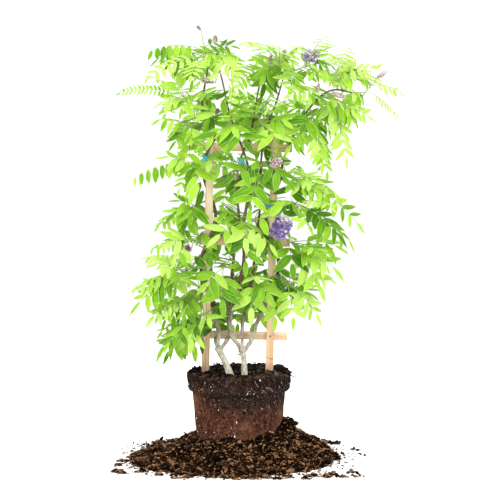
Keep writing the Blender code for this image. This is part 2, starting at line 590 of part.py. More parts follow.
def build_tie(name, where, post_x, cane, height, knot_side, tail):
    """A band of tape round a post and a cane, with a knot and one hanging end."""
    outline = []
    for step in (-TIE_SPAN, 0, TIE_SPAN):
        centre, radius = cane_centre(cane, height + step)
        swept = (radius + TIE_SLACK) / math.cos(math.pi / TIE_SIDES)
        for i in range(TIE_SIDES):
            a = 2 * math.pi * i / TIE_SIDES
            outline.append((centre.x + swept * math.cos(a), centre.y + swept * math.sin(a)))
        if post_x is not None:
            middle = lean(post_x, 0.0, height + step) * MM
            for sx in (-1, 1):
                for sy in (-1, 1):
                    outline.append((
                        middle.x + sx * (POST_WIDTH * MM / 2 + TIE_SLACK),
                        middle.y + sy * (POST_THICK * MM / 2 + TIE_SLACK),
                    ))
        else:
            for y in (POST_THICK / 2 * MM, (POST_THICK / 2 + RAIL_THICK + 1) * MM):
                outline.append((centre.x - TIE_ON_RAIL / 2, y + TIE_SLACK))
                outline.append((centre.x + TIE_ON_RAIL / 2, y + TIE_SLACK))
    hull = [Vector((*outline[i], 0.0)) for i in convex_hull_2d(outline)]
    ring = bmesh.new()
    low = [ring.verts.new(p + Vector((0, 0, height * MM - TIE_HEIGHT / 2))) for p in hull]
    high = [ring.verts.new(p + Vector((0, 0, height * MM + TIE_HEIGHT / 2))) for p in hull]
    for i in range(len(hull)):
        j = (i + 1) % len(hull)
        ring.faces.new((low[i], low[j], high[j], high[i]))
    bmesh.ops.recalc_face_normals(ring, faces=ring.faces)
    mesh = bpy.data.meshes.new(name)
    ring.to_mesh(mesh)
    ring.free()
    band = helper(name, mesh)
    skin = band.modifiers.new("tape", "SOLIDIFY")
    skin.thickness = TIE_THICK
    skin.offset = 1.0
    band = evaluated_mesh(band)
    front = min(hull, key=lambda p: p.y - knot_side * p.x * 0.2)
    half_knot = Vector(KNOT) / 2
    knot = Vector((front.x, front.y - KNOT[1] / 2 + KNOT_SUNK, height * MM))
    lump = box(knot - half_knot, knot + half_knot, KNOT[0] * 0.15)
    ends = [knot + Vector((0, -0.001, 0))]
    ends += [knot + Vector(way) * tail for way in ((0.25, -0.1, -0.35), (0.35, -0.1, -1.0))]
    strip = tube(ends, TAIL_RADII)
    make(name, boolean("UNION", band, [lump, strip]), where, ((0.10, 0.42, 0.62), 0.6), 30)


# ---------------------------------------------------------------- canes, shoots, leaves, flowers

def cane_mesh(cane, swell=0.0, resolution=1):
    foot, end, points = cane
    last = len(points) - 1
    places = [Vector(p) * MM for p in points]
    places[0] -= (places[1] - places[0]).normalized() * swell
    radii = [(foot + (end - foot) * i / last) * MM + swell for i in range(last + 1)]
    return tube(places, radii, resolution)


def build_vines(where):
    for name, canes in VINES.items():
        mesh = boolean("UNION", cane_mesh(canes[0], resolution=2), [cane_mesh(c) for c in canes[1:]])
        make(name, mesh, where, ((0.42, 0.38, 0.30), 0.85), 60)


def arch(base, tip, rise, t):
    """A point on the arched rachis between a leaf's base and tip."""
    crown = (base + tip) / 2 + Vector((0, 0, rise))
    return base * (1 - t) ** 2 + crown * 2 * t * (1 - t) + tip * t ** 2


def leaf_frame(base, tip, rise, t):
    """Place, sideways direction and upper-face direction at a share of the leaf's length."""
    chord = (tip - base).normalized()
    middle = arch(base, tip, rise, 0.6)
    outward = Vector((LEAF_SPREAD * middle.x, 1.0 if middle.y > LEAF_PART else -1.0, 0.0)).normalized()
    tilt = LEAF_TILT if chord.z < 0.2 else LEAF_TILT_RISING
    side = chord.cross(Vector((0, 0, 1)) + tilt * outward).normalized()
    along = arch(base, tip, rise, t + 0.02) - arch(base, tip, rise, t - 0.02)
    return arch(base, tip, rise, t), side, side.cross(along).normalized()


def leaf_mesh(base, tip, size, start=0.0):
    """One compound leaf's outline from a share of its length to the tip: a bare leafstalk, then a
    thin blade with a low ridge, arched along its rachis."""
    rise = (tip - base).length * LEAF_RISE
    half = LEAFLET[size] * MM * BLADE_SHARE
    shape = bmesh.new()
    rings = []
    sections = [(start, 0.0)] + [row for row in BLADE_SECTIONS if row[0] > start]
    for t, share in sections:
        here, side, face = leaf_frame(base, tip, rise, t)
        wide = max(half * share, STALK_HALF)
        high = max(wide * BLADE_RIDGE, STALK_HALF)
        edge, ridge = side * wide, face * high / 2
        rings.append([
            shape.verts.new(here + p) for p in (edge - ridge, ridge, -edge - ridge)
        ])
    end = shape.verts.new(arch(base, tip, rise, 1.0))
    for first, second in zip(rings, rings[1:]):
        for i in range(3):
            j = (i + 1) % 3
            shape.faces.new((first[i], first[j], second[j], second[i]))
    for i in range(3):
        shape.faces.new((rings[-1][i], rings[-1][(i + 1) % 3], end))
    shape.faces.new(rings[0][::-1])
    bmesh.ops.recalc_face_normals(shape, faces=shape.faces)
    bmesh.ops.triangulate(shape, faces=shape.faces)
    mesh = bpy.data.meshes.new("leaf")
    shape.to_mesh(mesh)
    shape.free()
    return mesh


def along_line(points, share):
    """A point at a share of a polyline's length."""
    lengths = [(b - a).length for a, b in zip(points, points[1:])]
    left = share * sum(lengths)
    for a, b, length in zip(points, points[1:], lengths):
        if left <= length:
            return a.lerp(b, left / length)
        left -= length
    return points[-1]


def reach(height):
    """How far the foliage reaches to the left and to the right at a height."""
    for (low, *near), (high, *far) in zip(REACH, REACH[1:]):
        if height <= high:
            share = (height - low) / (high - low)
            return [a + (b - a) * share for a, b in zip(near, far)]
    return REACH[-1][1:]


def fill_leaves():
    """Leaves that close the gaps between the shoots' own: each blade's middle keeps away from the
    others inside the plant's outline, and the leaf grows from the nearest shoot."""
    chance = random.Random(SEED)
    axes = {name: [Vector(p) for p in axis] for name, (axis, _) in SHOOTS.items()}
    buds = [
        (name, place, along_line(axis, place))
        for name, axis in axes.items() for place in (0.3, 0.45, 0.6, 0.75, 0.9)
    ]
    taken = [
        along_line(axes[name], row[0]).lerp(Vector(row[1]), FILL_MIDDLE)
        for name, (_, leaves) in SHOOTS.items() for row in leaves
    ]
    found = {name: [] for name in SHOOTS}
    least, most = (length * FILL_MIDDLE for length in FILL_LENGTH)
    for _ in range(FILL_LEAVES):
        tries = []
        for _ in range(FILL_TRIES):
            z = chance.uniform(REACH[0][0], REACH[-1][0])
            left, right = reach(z)
            x = chance.uniform(left, right)
            depth = 1 - 0.8 * abs((2 * x - left - right) / (right - left)) ** 2
            tries.append(Vector((x, chance.uniform(REACH_FRONT, REACH_BACK) * depth, z)))
        apart = lambda p: min(((p - other) * FILL_WEIGHTS).length for other in taken)
        middle = max(tries, key=apart)
        taken.append(middle)
        near = [bud for bud in buds if least < (bud[2] - middle).length < most]
        if near:
            cost = lambda bud: (bud[2] - middle).length + max(0.0, middle.z - bud[2].z)
            name, place, start = min(near, key=cost)
            tip = start + (middle - start) / FILL_MIDDLE
            left, right = reach(tip.z)
            tip.x = min(max(tip.x, left - 8), right + 8)
            tip.y = min(max(tip.y, REACH_FRONT), REACH_BACK)
            tip.z = min(tip.z, REACH[-1][0] + 8)
            small = tip.z > 960 or abs(tip.x - 30) > 200
            size = chance.choice(["small", "medium"] if small else ["medium", "large"])
            found[name].append((place, tuple(tip), size))
    return found


def one_body(mesh):
    """True where the mesh is closed, faces out, joins edge to edge and crosses itself nowhere."""
    shape = bmesh.new()
    shape.from_mesh(mesh)
    bmesh.ops.triangulate(shape, faces=shape.faces)
    shape.faces.ensure_lookup_table()
    closed = len(shape.faces) > 3 and all(edge.is_manifold for edge in shape.edges)
    reached, waiting = set(), list(shape.faces)[:1] if closed else []
    while waiting:
        face = waiting.pop()
        if face not in reached:
            reached.add(face)
            waiting += [other for edge in face.edges for other in edge.link_faces]
    tree = BVHTree.FromBMesh(shape)
    whole = closed and len(reached) == len(shape.faces) and not tree.overlap(tree)
    whole = whole and shape.calc_volume(signed=True) > 0
    shape.free()
    return whole


def clear_of(mesh, trees, own=()):
    tree = tree_of(mesh, GAP * 1.2)
    return not any(tree.overlap(other) for name, other in trees.items() if name not in own)


def seated(start, towards, host):
    """The point on the host's surface where a stalk that runs from start to towards leaves it."""
    ray = (start - towards).normalized()
    hit = host.ray_cast(towards, ray)[0]
    if hit is None or (hit - towards).length > (start - towards).length + 0.02:
        hit = host.find_nearest(towards)[0]
    return hit


def stalk(start, points, radii, trees, host_name):
    """A thin closed tube that starts just off its host's surface, and its axis."""
    host = trees[host_name]
    hit = seated(start, points[0], host)
    way = (points[0] - hit).normalized()
    for step in range(1, 30):
        axis = [hit + way * GAP * step] + points
        mesh = tube(axis, radii)
        if not tree_of(mesh, GAP * 0.5).overlap(host):
            return mesh, axis
    raise ValueError(f"no seat on {host_name} near {hit / MM}")


def nearest_host(point, trees, names):
    return min(names, key=lambda name: trees[name].find_nearest(point)[3])


def build_plant(where, trees):
    stems = {}
    for name, (points, _) in SHOOTS.items():
        start, *rest = [Vector(p) * MM for p in points]
        host = nearest_host(start, trees, VINES)
        mesh, axis = stalk(start, rest, STEM_RADII, trees, host)
        if not clear_of(mesh, trees, own=[host]):
            raise ValueError(f"the stem of {name} runs into another piece")
        stems[name] = (mesh, axis)
        trees[name] = tree_of(mesh)
    for name, (start, foot, tip, radius) in FLOWERS.items():
        start, foot, tip = Vector(start) * MM, Vector(foot) * MM, Vector(tip) * MM
        host = nearest_host(start, trees, [*VINES, *SHOOTS])
        mesh, _ = stalk(start, [foot.lerp(tip, STALK_SET_IN)], [STALK_RADIUS] * 2, trees, host)
        middle, length = (foot + tip) / 2, (tip - foot).length
        shape = bmesh.new()
        turn = (tip - foot).to_track_quat("Z", "Y")
        scale = Vector((radius * MM, radius * MM, length / 2))
        bmesh.ops.create_uvsphere(
            shape, u_segments=HEAD_SIDES, v_segments=HEAD_RINGS, radius=1.0,
            matrix=Matrix.LocRotScale(middle, turn, scale),
        )
        head = bpy.data.meshes.new(name)
        shape.to_mesh(head)
        shape.free()
        mesh = boolean("UNION", head, [mesh])
        if not clear_of(mesh, trees, own=[host]):
            raise ValueError(f"{name} runs into another piece")
        make(name, mesh, where, ((0.50, 0.33, 0.62), 0.8), 60)
        trees[name] = tree_of(mesh)
    more = fill_leaves()
    for name, (_, leaves) in SHOOTS.items():
        shoot, axis = stems[name]
        siblings = {}
        for place, tip, size in leaves + more[name]:
            for shift, nudge in NUDGES:
                base = along_line(axis, min(max(place + shift, 0.12), LAST_PLACE))
                end = (Vector(tip) + Vector(nudge)) * MM
                leaf = leaf_mesh(base, end, size)
                free = leaf_mesh(base, end, size, STALK_FREE)
                blade = leaf_mesh(base, end, size, BLADE_START)
                if (
                    clear_of(leaf, trees, own=[name]) and clear_of(free, siblings)
                    and clear_of(blade, {"stem": trees[name]})
                ):
                    joined = boolean("UNION", shoot.copy(), [leaf])
                    if one_body(joined):
                        shoot = joined
                        siblings[place, end.freeze()] = tree_of(free)
                        break
        make(name, shoot, where, ((0.30, 0.62, 0.06), 0.6), 60)
        trees[name] = tree_of(shoot)


def main():
    clear_scene()
    parts = collection("wisteria_in_a_pot")
    build_pot(parts)
    build_trellis(parts)
    build_vines(parts)
    tilt = lean_matrix()
    cutters = [cane_mesh(canes[0], GAP * 1.5, resolution=2) for canes in VINES.values()]
    for post_x in POST_X:
        reach = Vector((POST_WIDTH / 2, POST_THICK / 2, 0)) * MM + Vector((GAP, GAP, GAP))
        slot = box(
            Vector((post_x * MM, 0, POST_BOTTOM * MM)) - reach,
            Vector((post_x * MM, 0, POST_TOP * MM)) + reach,
        )
        slot.transform(tilt)
        cutters.append(slot)
    build_soil(parts, cutters)
    build_heap(parts)
    for name, (post_x, cane, height, knot_side, tail) in TIES.items():
        build_tie(name, parts, post_x, cane, height, knot_side, tail)
    trees = {obj.name: tree_of(obj.data) for obj in parts.objects}
    build_plant(parts, trees)


main()
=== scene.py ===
"""Looks of a potted wisteria on a ladder trellis: leaves, flower heads, bark, wood, pot and soil.

The plant's layout is in millimetres, as in the solid model, and everything built from it is in
metres: +Z up, +X right, -Y front, the origin at the centre of the pot's base.
"""

import math
import random

import bmesh
import bpy
import numpy as np
from mathutils import Matrix, Vector, noise
from mathutils.geometry import convex_hull_2d

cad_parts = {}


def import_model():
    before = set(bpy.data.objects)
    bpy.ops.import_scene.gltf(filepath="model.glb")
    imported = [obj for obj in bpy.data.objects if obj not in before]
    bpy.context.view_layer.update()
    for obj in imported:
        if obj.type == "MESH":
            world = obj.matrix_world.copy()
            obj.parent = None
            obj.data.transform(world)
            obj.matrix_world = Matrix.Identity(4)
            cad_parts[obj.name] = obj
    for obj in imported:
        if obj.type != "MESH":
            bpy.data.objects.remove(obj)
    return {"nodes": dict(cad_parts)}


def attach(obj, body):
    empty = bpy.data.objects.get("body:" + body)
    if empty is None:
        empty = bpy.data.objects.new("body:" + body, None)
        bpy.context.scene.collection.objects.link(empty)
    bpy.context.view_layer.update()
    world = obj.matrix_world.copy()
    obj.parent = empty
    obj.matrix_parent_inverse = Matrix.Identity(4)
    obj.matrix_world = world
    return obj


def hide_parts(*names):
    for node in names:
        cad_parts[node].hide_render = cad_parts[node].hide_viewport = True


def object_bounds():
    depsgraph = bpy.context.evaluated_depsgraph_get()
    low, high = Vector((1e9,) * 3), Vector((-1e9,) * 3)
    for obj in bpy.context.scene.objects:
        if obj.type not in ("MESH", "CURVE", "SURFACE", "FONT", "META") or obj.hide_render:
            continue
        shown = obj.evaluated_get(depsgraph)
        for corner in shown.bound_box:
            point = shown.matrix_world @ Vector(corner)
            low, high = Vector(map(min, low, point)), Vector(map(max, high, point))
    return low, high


MM = 0.001
TURN = 2 * math.pi
SEED = 11

POT_HEIGHT, POT_BASE_RADIUS, POT_NECK_RADIUS = 0.230, 0.110, 0.1265
COLLAR_RADIUS, COLLAR_HEIGHT = 0.140, 0.043
POT_WALL, POT_FLOOR = 0.005, 0.007
NECK, INNER = POT_HEIGHT - COLLAR_HEIGHT, COLLAR_RADIUS - POT_WALL  # under and inside the collar
SOIL_CROWN = 0.018

# The heap at the right, back, left and front.
HEAP_RADIUS = (0.272, 0.285, 0.320, 0.300)
HEAP_HEIGHT = (0.096, 0.070, 0.064, 0.068)
HEAP_FALL = (0.85, 1.3, 1.4, 1.4)  # above 1, a hollow slope
HEAP_DENSE = (0.97, 0.93, 0.93, 0.88)  # share without gaps
HEAP_EDGE = 0.003
# Clumps that lie apart from the heap: place and number of flakes.
HEAP_CLUMPS = [
    (-318, -196, 40), (-300, -214, 24), (-322, -120, 22), (-312, -60, 16), (-206, -236, 34),
    (-252, -196, 20), (-70, -262, 26), (-20, -272, 44), (22, -274, 40), (70, -270, 34),
    (128, -266, 34), (100, -282, 24), (190, -250, 30), (222, -262, 26), (244, -232, 34),
    (262, -262, 22), (290, -205, 18), (168, -284, 18), (242, 206, 30), (258, 196, 26),
    (278, 186, 20), (-238, 204, 22), (-222, 214, 12), (-262, 178, 14), (-130, -262, 20),
    (-160, -276, 10), (318, 90, 8), (334, 20, 6), (306, -250, 8), (40, -286, 16),
]


# ---- plant layout, in millimetres

SOIL_Z = 224.0  # the soil surface at the pot's axis
LEAN = 0.0235  # how far the trellis leans to the right, per unit of height
POST_X = (-91.0, 82.0)  # the two posts where they leave the soil
POST_WIDTH, POST_THICK = 21.0, 8.0
POST_BOTTOM, POST_TOP = 60.0, 897.0
RAIL_Z, RAIL_PITCH, RAIL_COUNT = 332.0, 254.0, 3  # the lowest rail, then one every 10 inches
RAIL_HEIGHT, RAIL_THICK, RAIL_ENDS = 22.0, 6.0, (-111.0, 129.0)
TWINE_RADIUS = 18.5  # a cane's axis from the post's axis
TWINE_STEP = 22.0  # height between two points of a twining cane


def lean(x, y, z):
    """A point of the trellis, which leans about the soil line."""
    a = math.atan(LEAN)
    return Vector((
        x * math.cos(a) + (z - SOIL_Z) * math.sin(a),
        y,
        SOIL_Z + (z - SOIL_Z) * math.cos(a) - x * math.sin(a),
    ))


def twine(post_x, z_from, z_to, turn):
    """A cane's points round a post: in front of it at each rail, behind it half way between."""
    points = []
    steps = round((z_to - z_from) / TWINE_STEP)
    for i in range(steps + 1):
        z = z_from + (z_to - z_from) * i / steps
        a = -math.pi / 2 + turn * TURN * (z - RAIL_Z) / RAIL_PITCH
        points.append(tuple(
            lean(post_x + TWINE_RADIUS * math.cos(a), TWINE_RADIUS * math.sin(a), z)
        ))
    return points


# Each cane: radius at its foot, radius at its end, and the points of its axis.
LEFT_TRUNK = (11.0, 7.5, [
    (-23, -50, 150), (-20, -50, 190), (-21, -49, 222), (-28, -45, 245), (-38, -37, 268),
    (-50, -27, 288), (-57, -19, 302),
])
LEFT_OUTER = (6.6, 2.2, [
    (-56, -18, 298), (-58, -19, 318), (-54, -19, 336), (-57, -16, 358), (-66, -9, 378),
    *twine(POST_X[0], 396, 872, 1),
    (-84, -10, 905), (-96, -6, 932), (-98, -4, 962), (-92, -2, 1000), (-84, 0, 1045),
    (-82, 2, 1080),
])
LEFT_INNER = (5.0, 1.8, [
    (-50, -19, 292), (-43, -17, 305), (-33, -12, 320), (-26, -7, 336), (-27, -6, 356),
    (-30, -8, 384), (-26, -9, 430), (-20, -10, 480), (-16, -12, 520), (-12, -15, 560),
    (-6, -16, 604), (0, -15, 650), (-4, -12, 700), (-6, -10, 750), (2, -9, 800), (14, -9, 832),
    (30, -8, 870), (40, -5, 920), (48, -2, 970), (60, 0, 1020), (80, 2, 1050),
])
RIGHT_TRUNK = (9.4, 7.2, [
    (17, -48, 150), (17, -48, 190), (16, -47, 222), (15, -42, 245), (14, -34, 268), (11, -26, 286),
    (8, -21, 303),
])
RIGHT_LEFT_ARM = (5.6, 1.8, [
    (9, -20, 296), (-3, -22, 311), (-15, -24, 327), (-22, -25, 345), (-24, -25, 372),
    (-15, -25, 410), (-2, -24, 450), (8, -24, 500), (14, -26, 550), (11, -27, 600), (15, -28, 650),
    (24, -27, 700), (28, -25, 750), (22, -24, 800), (5, -24, 850), (-15, -20, 900),
    (-30, -14, 950), (-40, -8, 1000), (-52, -4, 1050), (-60, -2, 1090),
])
RIGHT_MIDDLE_ARM = (4.4, 1.8, [
    (9, -20, 297), (9, -14, 325), (9, -9, 345), (11, -6, 375), (20, -5, 420), (32, -4, 470),
    (40, -4, 520), (44, -5, 570), (50, -5, 620), (56, -5, 670), (58, -5, 720), (58, -6, 770),
    (60, -7, 805), (64, -8, 842), (72, -6, 880), (85, -4, 920), (100, -2, 960), (112, 0, 1000),
    (122, 0, 1036),
])
RIGHT_OUTER = (6.0, 2.0, [
    (11, -20, 290), (24, -21, 306), (33, -20, 322), (40, -18, 340), (47, -14, 364), (58, -7, 386),
    *twine(POST_X[1], 404, 776, -1),
    (122, -6, 812), (134, -6, 842), (150, -6, 880), (168, -8, 915), (190, -10, 945),
    (212, -12, 970), (238, -13, 988), (265, -14, 993), (300, -15, 986), (332, -16, 976),
])
VINES = {
    "vine_left": [LEFT_TRUNK, LEFT_OUTER, LEFT_INNER],
    "vine_right": [RIGHT_TRUNK, RIGHT_LEFT_ARM, RIGHT_MIDDLE_ARM, RIGHT_OUTER],
}

# Leaflet lengths of the leaves' sizes: large, medium, small, young and tiny.
LEAFLET = {"L": 64.0, "M": 50.0, "S": 38.0, "Y": 32.0, "T": 21.0}

# How far the foliage reaches to the left and to the right, as (height, left, right), and to the
# front and the back. FILL_LEAVES more leaves close the gaps inside it, FILL_LENGTH long.
REACH = [
    (300, -225, 10), (350, -245, 150), (415, -285, 240), (480, -300, 270), (550, -265, 305),
    (620, -230, 315), (685, -195, 315), (750, -220, 260), (820, -215, 265), (890, -230, 310),
    (950, -255, 345), (1020, -255, 390), (1075, -240, 330), (1115, -200, 300),
]
REACH_FRONT, REACH_BACK = -165.0, 205.0
FILL_LEAVES = 250
FILL_TRIES = 10
FILL_LENGTH = (80.0, 230.0)
FILL_WEIGHTS = Vector((1.0, 0.55, 1.0))  # a gap counts for less from front to back
FILL_MIDDLE = 0.66  # the middle of a leaf's blade, as a share of its length

# Each shoot: its axis from the cane outwards, and its own leaves as (place along it, tip, size
# and, for some, how far their leaflets hang).
SHOOTS = {
    "shoot_crown_left": ([(-83, 1, 1062), (-94, -6, 1084), (-92, -8, 1108)], [
        (0.4, (-226, -26, 1034), "M"), (0.8, (-238, -8, 1096), "Y", 2.2),
        (1.0, (-20, 24, 1122), "S"), (0.6, (-46, -50, 1066), "S")]),
    "shoot_left_high": ([(-98, -4, 958), (-126, -14, 966), (-152, -20, 976)], [
        (0.7, (-336, -8, 980), "T"), (1.0, (-192, -34, 1052), "M"), (0.9, (-242, -40, 934), "M"),
        (0.75, (-164, -52, 900), "M")]),
    "shoot_left_shoulder": ([(-94, -7, 928), (-114, -16, 904), (-132, -22, 892)], [
        (1.0, (-214, -26, 862), "M", 0.8), (0.7, (-196, -62, 812), "M"),
        (0.8, (-176, 70, 890), "M")]),
    "shoot_left_upper": ([(-96, -8, 800), (-112, -14, 802), (-128, -18, 794)], [
        (1.0, (-284, -12, 756), "Y", 2.6), (0.7, (-170, -58, 696), "Y"),
        (0.6, (-202, 84, 752), "M")]),
    "shoot_left_mid": ([(-70, 16, 690), (-100, 18, 692), (-124, 2, 674)], [
        (1.0, (-220, -34, 636), "L", 0.35), (0.8, (-204, -8, 694), "M"),
        (0.6, (-168, 80, 640), "M"), (0.7, (-140, -110, 628), "L")]),
    "shoot_left_low_mid": ([(-100, -8, 604), (-112, -16, 600), (-126, -24, 590)], [
        (1.0, (-224, -50, 566), "L"), (0.8, (-260, -6, 552), "Y", 1.2),
        (0.7, (-194, -84, 506), "M"), (0.5, (-210, 92, 560), "M")]),
    "shoot_left_low": ([(-96, -10, 522), (-120, -16, 518), (-150, -22, 502)], [
        (1.0, (-318, -30, 440), "M", 0.7), (0.7, (-196, -78, 412), "M"),
        (0.6, (-236, 74, 456), "M")]),
    "shoot_left_lower": ([(-88, 18, 455), (-110, 14, 452), (-124, -10, 438)], [
        (1.0, (-230, -34, 332), "M"), (0.7, (-160, -88, 352), "M"), (0.5, (-196, 92, 372), "M")]),
    "shoot_left_bottom": ([(-74, -14, 402), (-92, -26, 394), (-112, -30, 376)], [
        (1.0, (-224, -30, 228), "L"), (0.7, (-128, -60, 236), "L"), (0.6, (-196, 56, 288), "M")]),
    "shoot_right_tip": ([(330, -16, 976), (342, -17, 992), (356, -17, 1007)], [
        (0.9, (456, -22, 968), "Y"), (0.4, (446, 4, 898), "T")]),
    "shoot_right_top": ([(262, -14, 993), (266, -18, 1014), (258, -18, 1040)], [
        (0.8, (352, -34, 1000), "M"), (1.0, (312, 16, 1078), "Y", 2.4),
        (0.6, (318, 34, 1020), "M", 1.6), (0.5, (208, -60, 996), "M")]),
    "shoot_right_outer": ([(238, -13, 988), (248, -22, 966), (258, -26, 948)], [
        (1.0, (378, -22, 898), "S"), (0.9, (296, -40, 752), "M", 0.0), (0.6, (240, -70, 880), "M"),
        (0.7, (330, 60, 900), "M")]),
    "shoot_right_high": ([(190, -10, 945), (196, -26, 930), (200, -34, 908)], [
        (1.0, (222, -66, 812), "M"), (0.7, (150, -110, 858), "L"), (0.5, (286, 40, 842), "M"),
        (0.6, (206, 100, 856), "M")]),
    "shoot_right_upper": ([(108, -8, 765), (126, -14, 764), (148, -20, 756)], [
        (1.0, (312, -26, 676), "L", 0.6), (0.8, (270, 62, 712), "M"), (0.7, (190, -92, 690), "M"),
        (0.6, (180, 60, 800), "M")]),
    "shoot_right_mid": ([(112, -8, 692), (130, -16, 694), (152, -24, 690)], [
        (1.0, (332, -40, 548), "M", 0.5), (0.8, (206, -94, 590), "M"), (0.6, (230, 92, 600), "M")]),
    "shoot_right_low_mid": ([(106, -10, 602), (122, -22, 598), (146, -32, 580)], [
        (1.0, (246, -52, 402), "L"), (0.8, (270, 30, 480), "M"), (0.6, (150, -108, 468), "L")]),
    "shoot_right_low": ([(100, -10, 492), (116, -20, 488), (136, -30, 472)], [
        (1.0, (238, -34, 344), "M"), (0.8, (152, -84, 332), "M"), (0.6, (226, 74, 408), "M"),
        (0.4, (92, -84, 330), "M")]),
    "shoot_crown_mid": ([(-59, -2, 1084), (-56, 2, 1098), (-66, 2, 1108)], [
        (0.5, (-140, 34, 1058), "M"), (0.9, (14, -12, 1100), "S"), (0.4, (-20, -56, 1008), "M")]),
    "shoot_crown": ([(78, 2, 1048), (96, -2, 1056), (112, -2, 1068)], [
        (0.6, (44, -52, 992), "M"), (0.8, (150, -46, 984), "M"), (0.4, (20, 40, 1040), "M"),
        (1.0, (70, -20, 1118), "S")]),
    "shoot_crown_right": ([(122, 0, 1032), (150, -4, 1046), (184, -6, 1056)], [
        (0.5, (130, -70, 950), "M"), (0.8, (246, -36, 1000), "M"), (0.6, (216, 72, 1010), "M"),
        (1.0, (280, 30, 1052), "S")]),
    "shoot_front_top": ([(-15, -22, 900), (-22, -56, 904), (-28, -84, 898)], [
        (0.9, (-104, -130, 812), "L"), (1.0, (46, -160, 802), "L"), (0.6, (-134, -66, 950), "L"),
        (0.5, (60, -90, 950), "L")]),
    "shoot_front_high": ([(32, -8, 876), (50, -44, 896), (62, -74, 902)], [
        (0.9, (170, -116, 900), "L"), (1.0, (128, -150, 800), "L"), (0.6, (100, -70, 1004), "M")]),
    "shoot_front_upper": ([(58, -6, 790), (66, -50, 800), (58, -88, 792)], [
        (1.0, (18, -150, 606), "L", 0.0), (0.8, (160, -130, 716), "L"),
        (0.7, (-56, -120, 730), "L")]),
    "shoot_front_mid": ([(14, -28, 642), (6, -66, 650), (14, -96, 636)], [
        (1.0, (22, -156, 470), "L"), (0.8, (124, -130, 530), "L"), (0.7, (-92, -124, 560), "L")]),
    "shoot_front_low_mid": ([(-17, -12, 520), (-32, -54, 528), (-42, -82, 518)], [
        (0.9, (-120, -130, 430), "L"), (1.0, (-44, -150, 372), "L"), (0.6, (-130, -70, 584), "L")]),
    "shoot_front_low": ([(8, -25, 500), (26, -58, 506), (44, -84, 494)], [
        (0.9, (106, -132, 402), "L"), (1.0, (28, -136, 348), "L"), (0.6, (110, -90, 600), "M")]),
    "shoot_back_top": ([(85, -4, 920), (80, 46, 934), (66, 88, 930)], [
        (1.0, (20, 196, 850), "M"), (0.8, (150, 180, 880), "M"), (0.6, (-60, 110, 960), "M"),
        (0.5, (170, 100, 980), "M")]),
    "shoot_back_high": ([(-3, -10, 766), (-4, 40, 782), (-10, 84, 776)], [
        (1.0, (-40, 210, 700), "L"), (0.8, (-130, 160, 780), "L"), (0.6, (100, 180, 760), "L"),
        (0.5, (-80, 120, 860), "M")]),
    "shoot_back_mid": ([(50, -5, 622), (44, 40, 640), (36, 84, 636)], [
        (1.0, (20, 210, 560), "L"), (0.8, (-90, 180, 620), "L"), (0.6, (150, 170, 620), "L"),
        (0.5, (90, 130, 520), "M")]),
    "shoot_back_low": ([(-22, -10, 462), (-16, 40, 484), (-8, 80, 480)], [
        (1.0, (-10, 200, 390), "L"), (0.8, (-130, 150, 430), "L"), (0.6, (110, 160, 440), "L"),
        (0.5, (40, 110, 350), "M")]),
}

# Each flower head: where its stalk starts, its foot, its tip, its greatest radius and its kind.
FLOWERS = {
    "raceme_open": ((98, -20, 560), (96, -66, 600), (128, -96, 656), 30.0, "open"),
    "raceme_pale": ((60, -50, 796), (84, -78, 790), (110, -112, 806), 19.0, "closed"),
    "raceme_crown": ((184, -6, 1056), (189, -8, 1066), (196, -12, 1100), 21.0, "open"),
    "raceme_top": ((112, -2, 1068), (118, -4, 1072), (124, -6, 1104), 9.5, "bud"),
    "raceme_left": ((-58, -6, 1030), (-64, -24, 1012), (-104, -34, 1022), 11.0, "closed"),
    "raceme_right": ((356, -17, 1007), (368, -18, 1024), (394, -20, 1042), 10.5, "closed"),
    "bud_left_mid": ((-124, -20, 580), (-130, -44, 562), (-140, -56, 582), 9.5, "bud"),
    "bud_highest": ((-92, -8, 1108), (-100, -10, 1150), (-112, -12, 1164), 6.0, "bud"),
    "bud_left_high": ((-80, -14, 900), (-62, -34, 922), (-54, -40, 944), 8.0, "bud"),
}

# ---- mesh building blocks

class Soup:
    """Gathers closed shapes into one mesh. Each point also holds two marks for the materials:
    blade = (across -1..1, along 0..1, tone 0..1) and under = 1 on a lower face."""

    def __init__(self):
        self.points, self.faces, self.slots, self.blades, self.unders = [], [], [], [], []
        self.count = 0

    def add(self, points, faces, slot=0, blade=(0.0, 0.0, 0.0), under=0.0):
        points = np.asarray(points, float).reshape(-1, 3)
        self.points.append(points)
        self.faces += [tuple(i + self.count for i in face) for face in faces]
        self.slots += [slot] * len(faces)
        self.blades.append(np.broadcast_to(blade, (len(points), 3)))
        self.unders.append(np.broadcast_to(under, len(points)))
        self.count += len(points)

    def mesh(self, name):
        mesh = bpy.data.meshes.new(name)
        mesh.from_pydata(np.concatenate(self.points).tolist(), [], self.faces)
        mesh.polygons.foreach_set("material_index", self.slots)
        blade = mesh.attributes.new("blade", "FLOAT_VECTOR", "POINT")
        blade.data.foreach_set("vector", np.concatenate(self.blades).astype(np.float32).ravel())
        under = mesh.attributes.new("under", "FLOAT", "POINT")
        under.data.foreach_set("value", np.concatenate(self.unders).astype(np.float32))
        mesh.update()
        return mesh


def linked(name, data):
    obj = bpy.data.objects.new(name, data)
    bpy.context.scene.collection.objects.link(obj)
    return obj


def piece(name, soup, materials, slot, *nodes, sharp=50):
    """Makes a piece on the one body, standing for the CAD nodes named."""
    mesh = soup.mesh(name)
    for look in materials:
        mesh.materials.append(look)
    mesh.shade_smooth()
    if sharp:
        mesh.set_sharp_from_angle(angle=math.radians(sharp))
    obj = linked(name, mesh)
    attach(obj, "root")
    if nodes:
        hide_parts(*nodes)


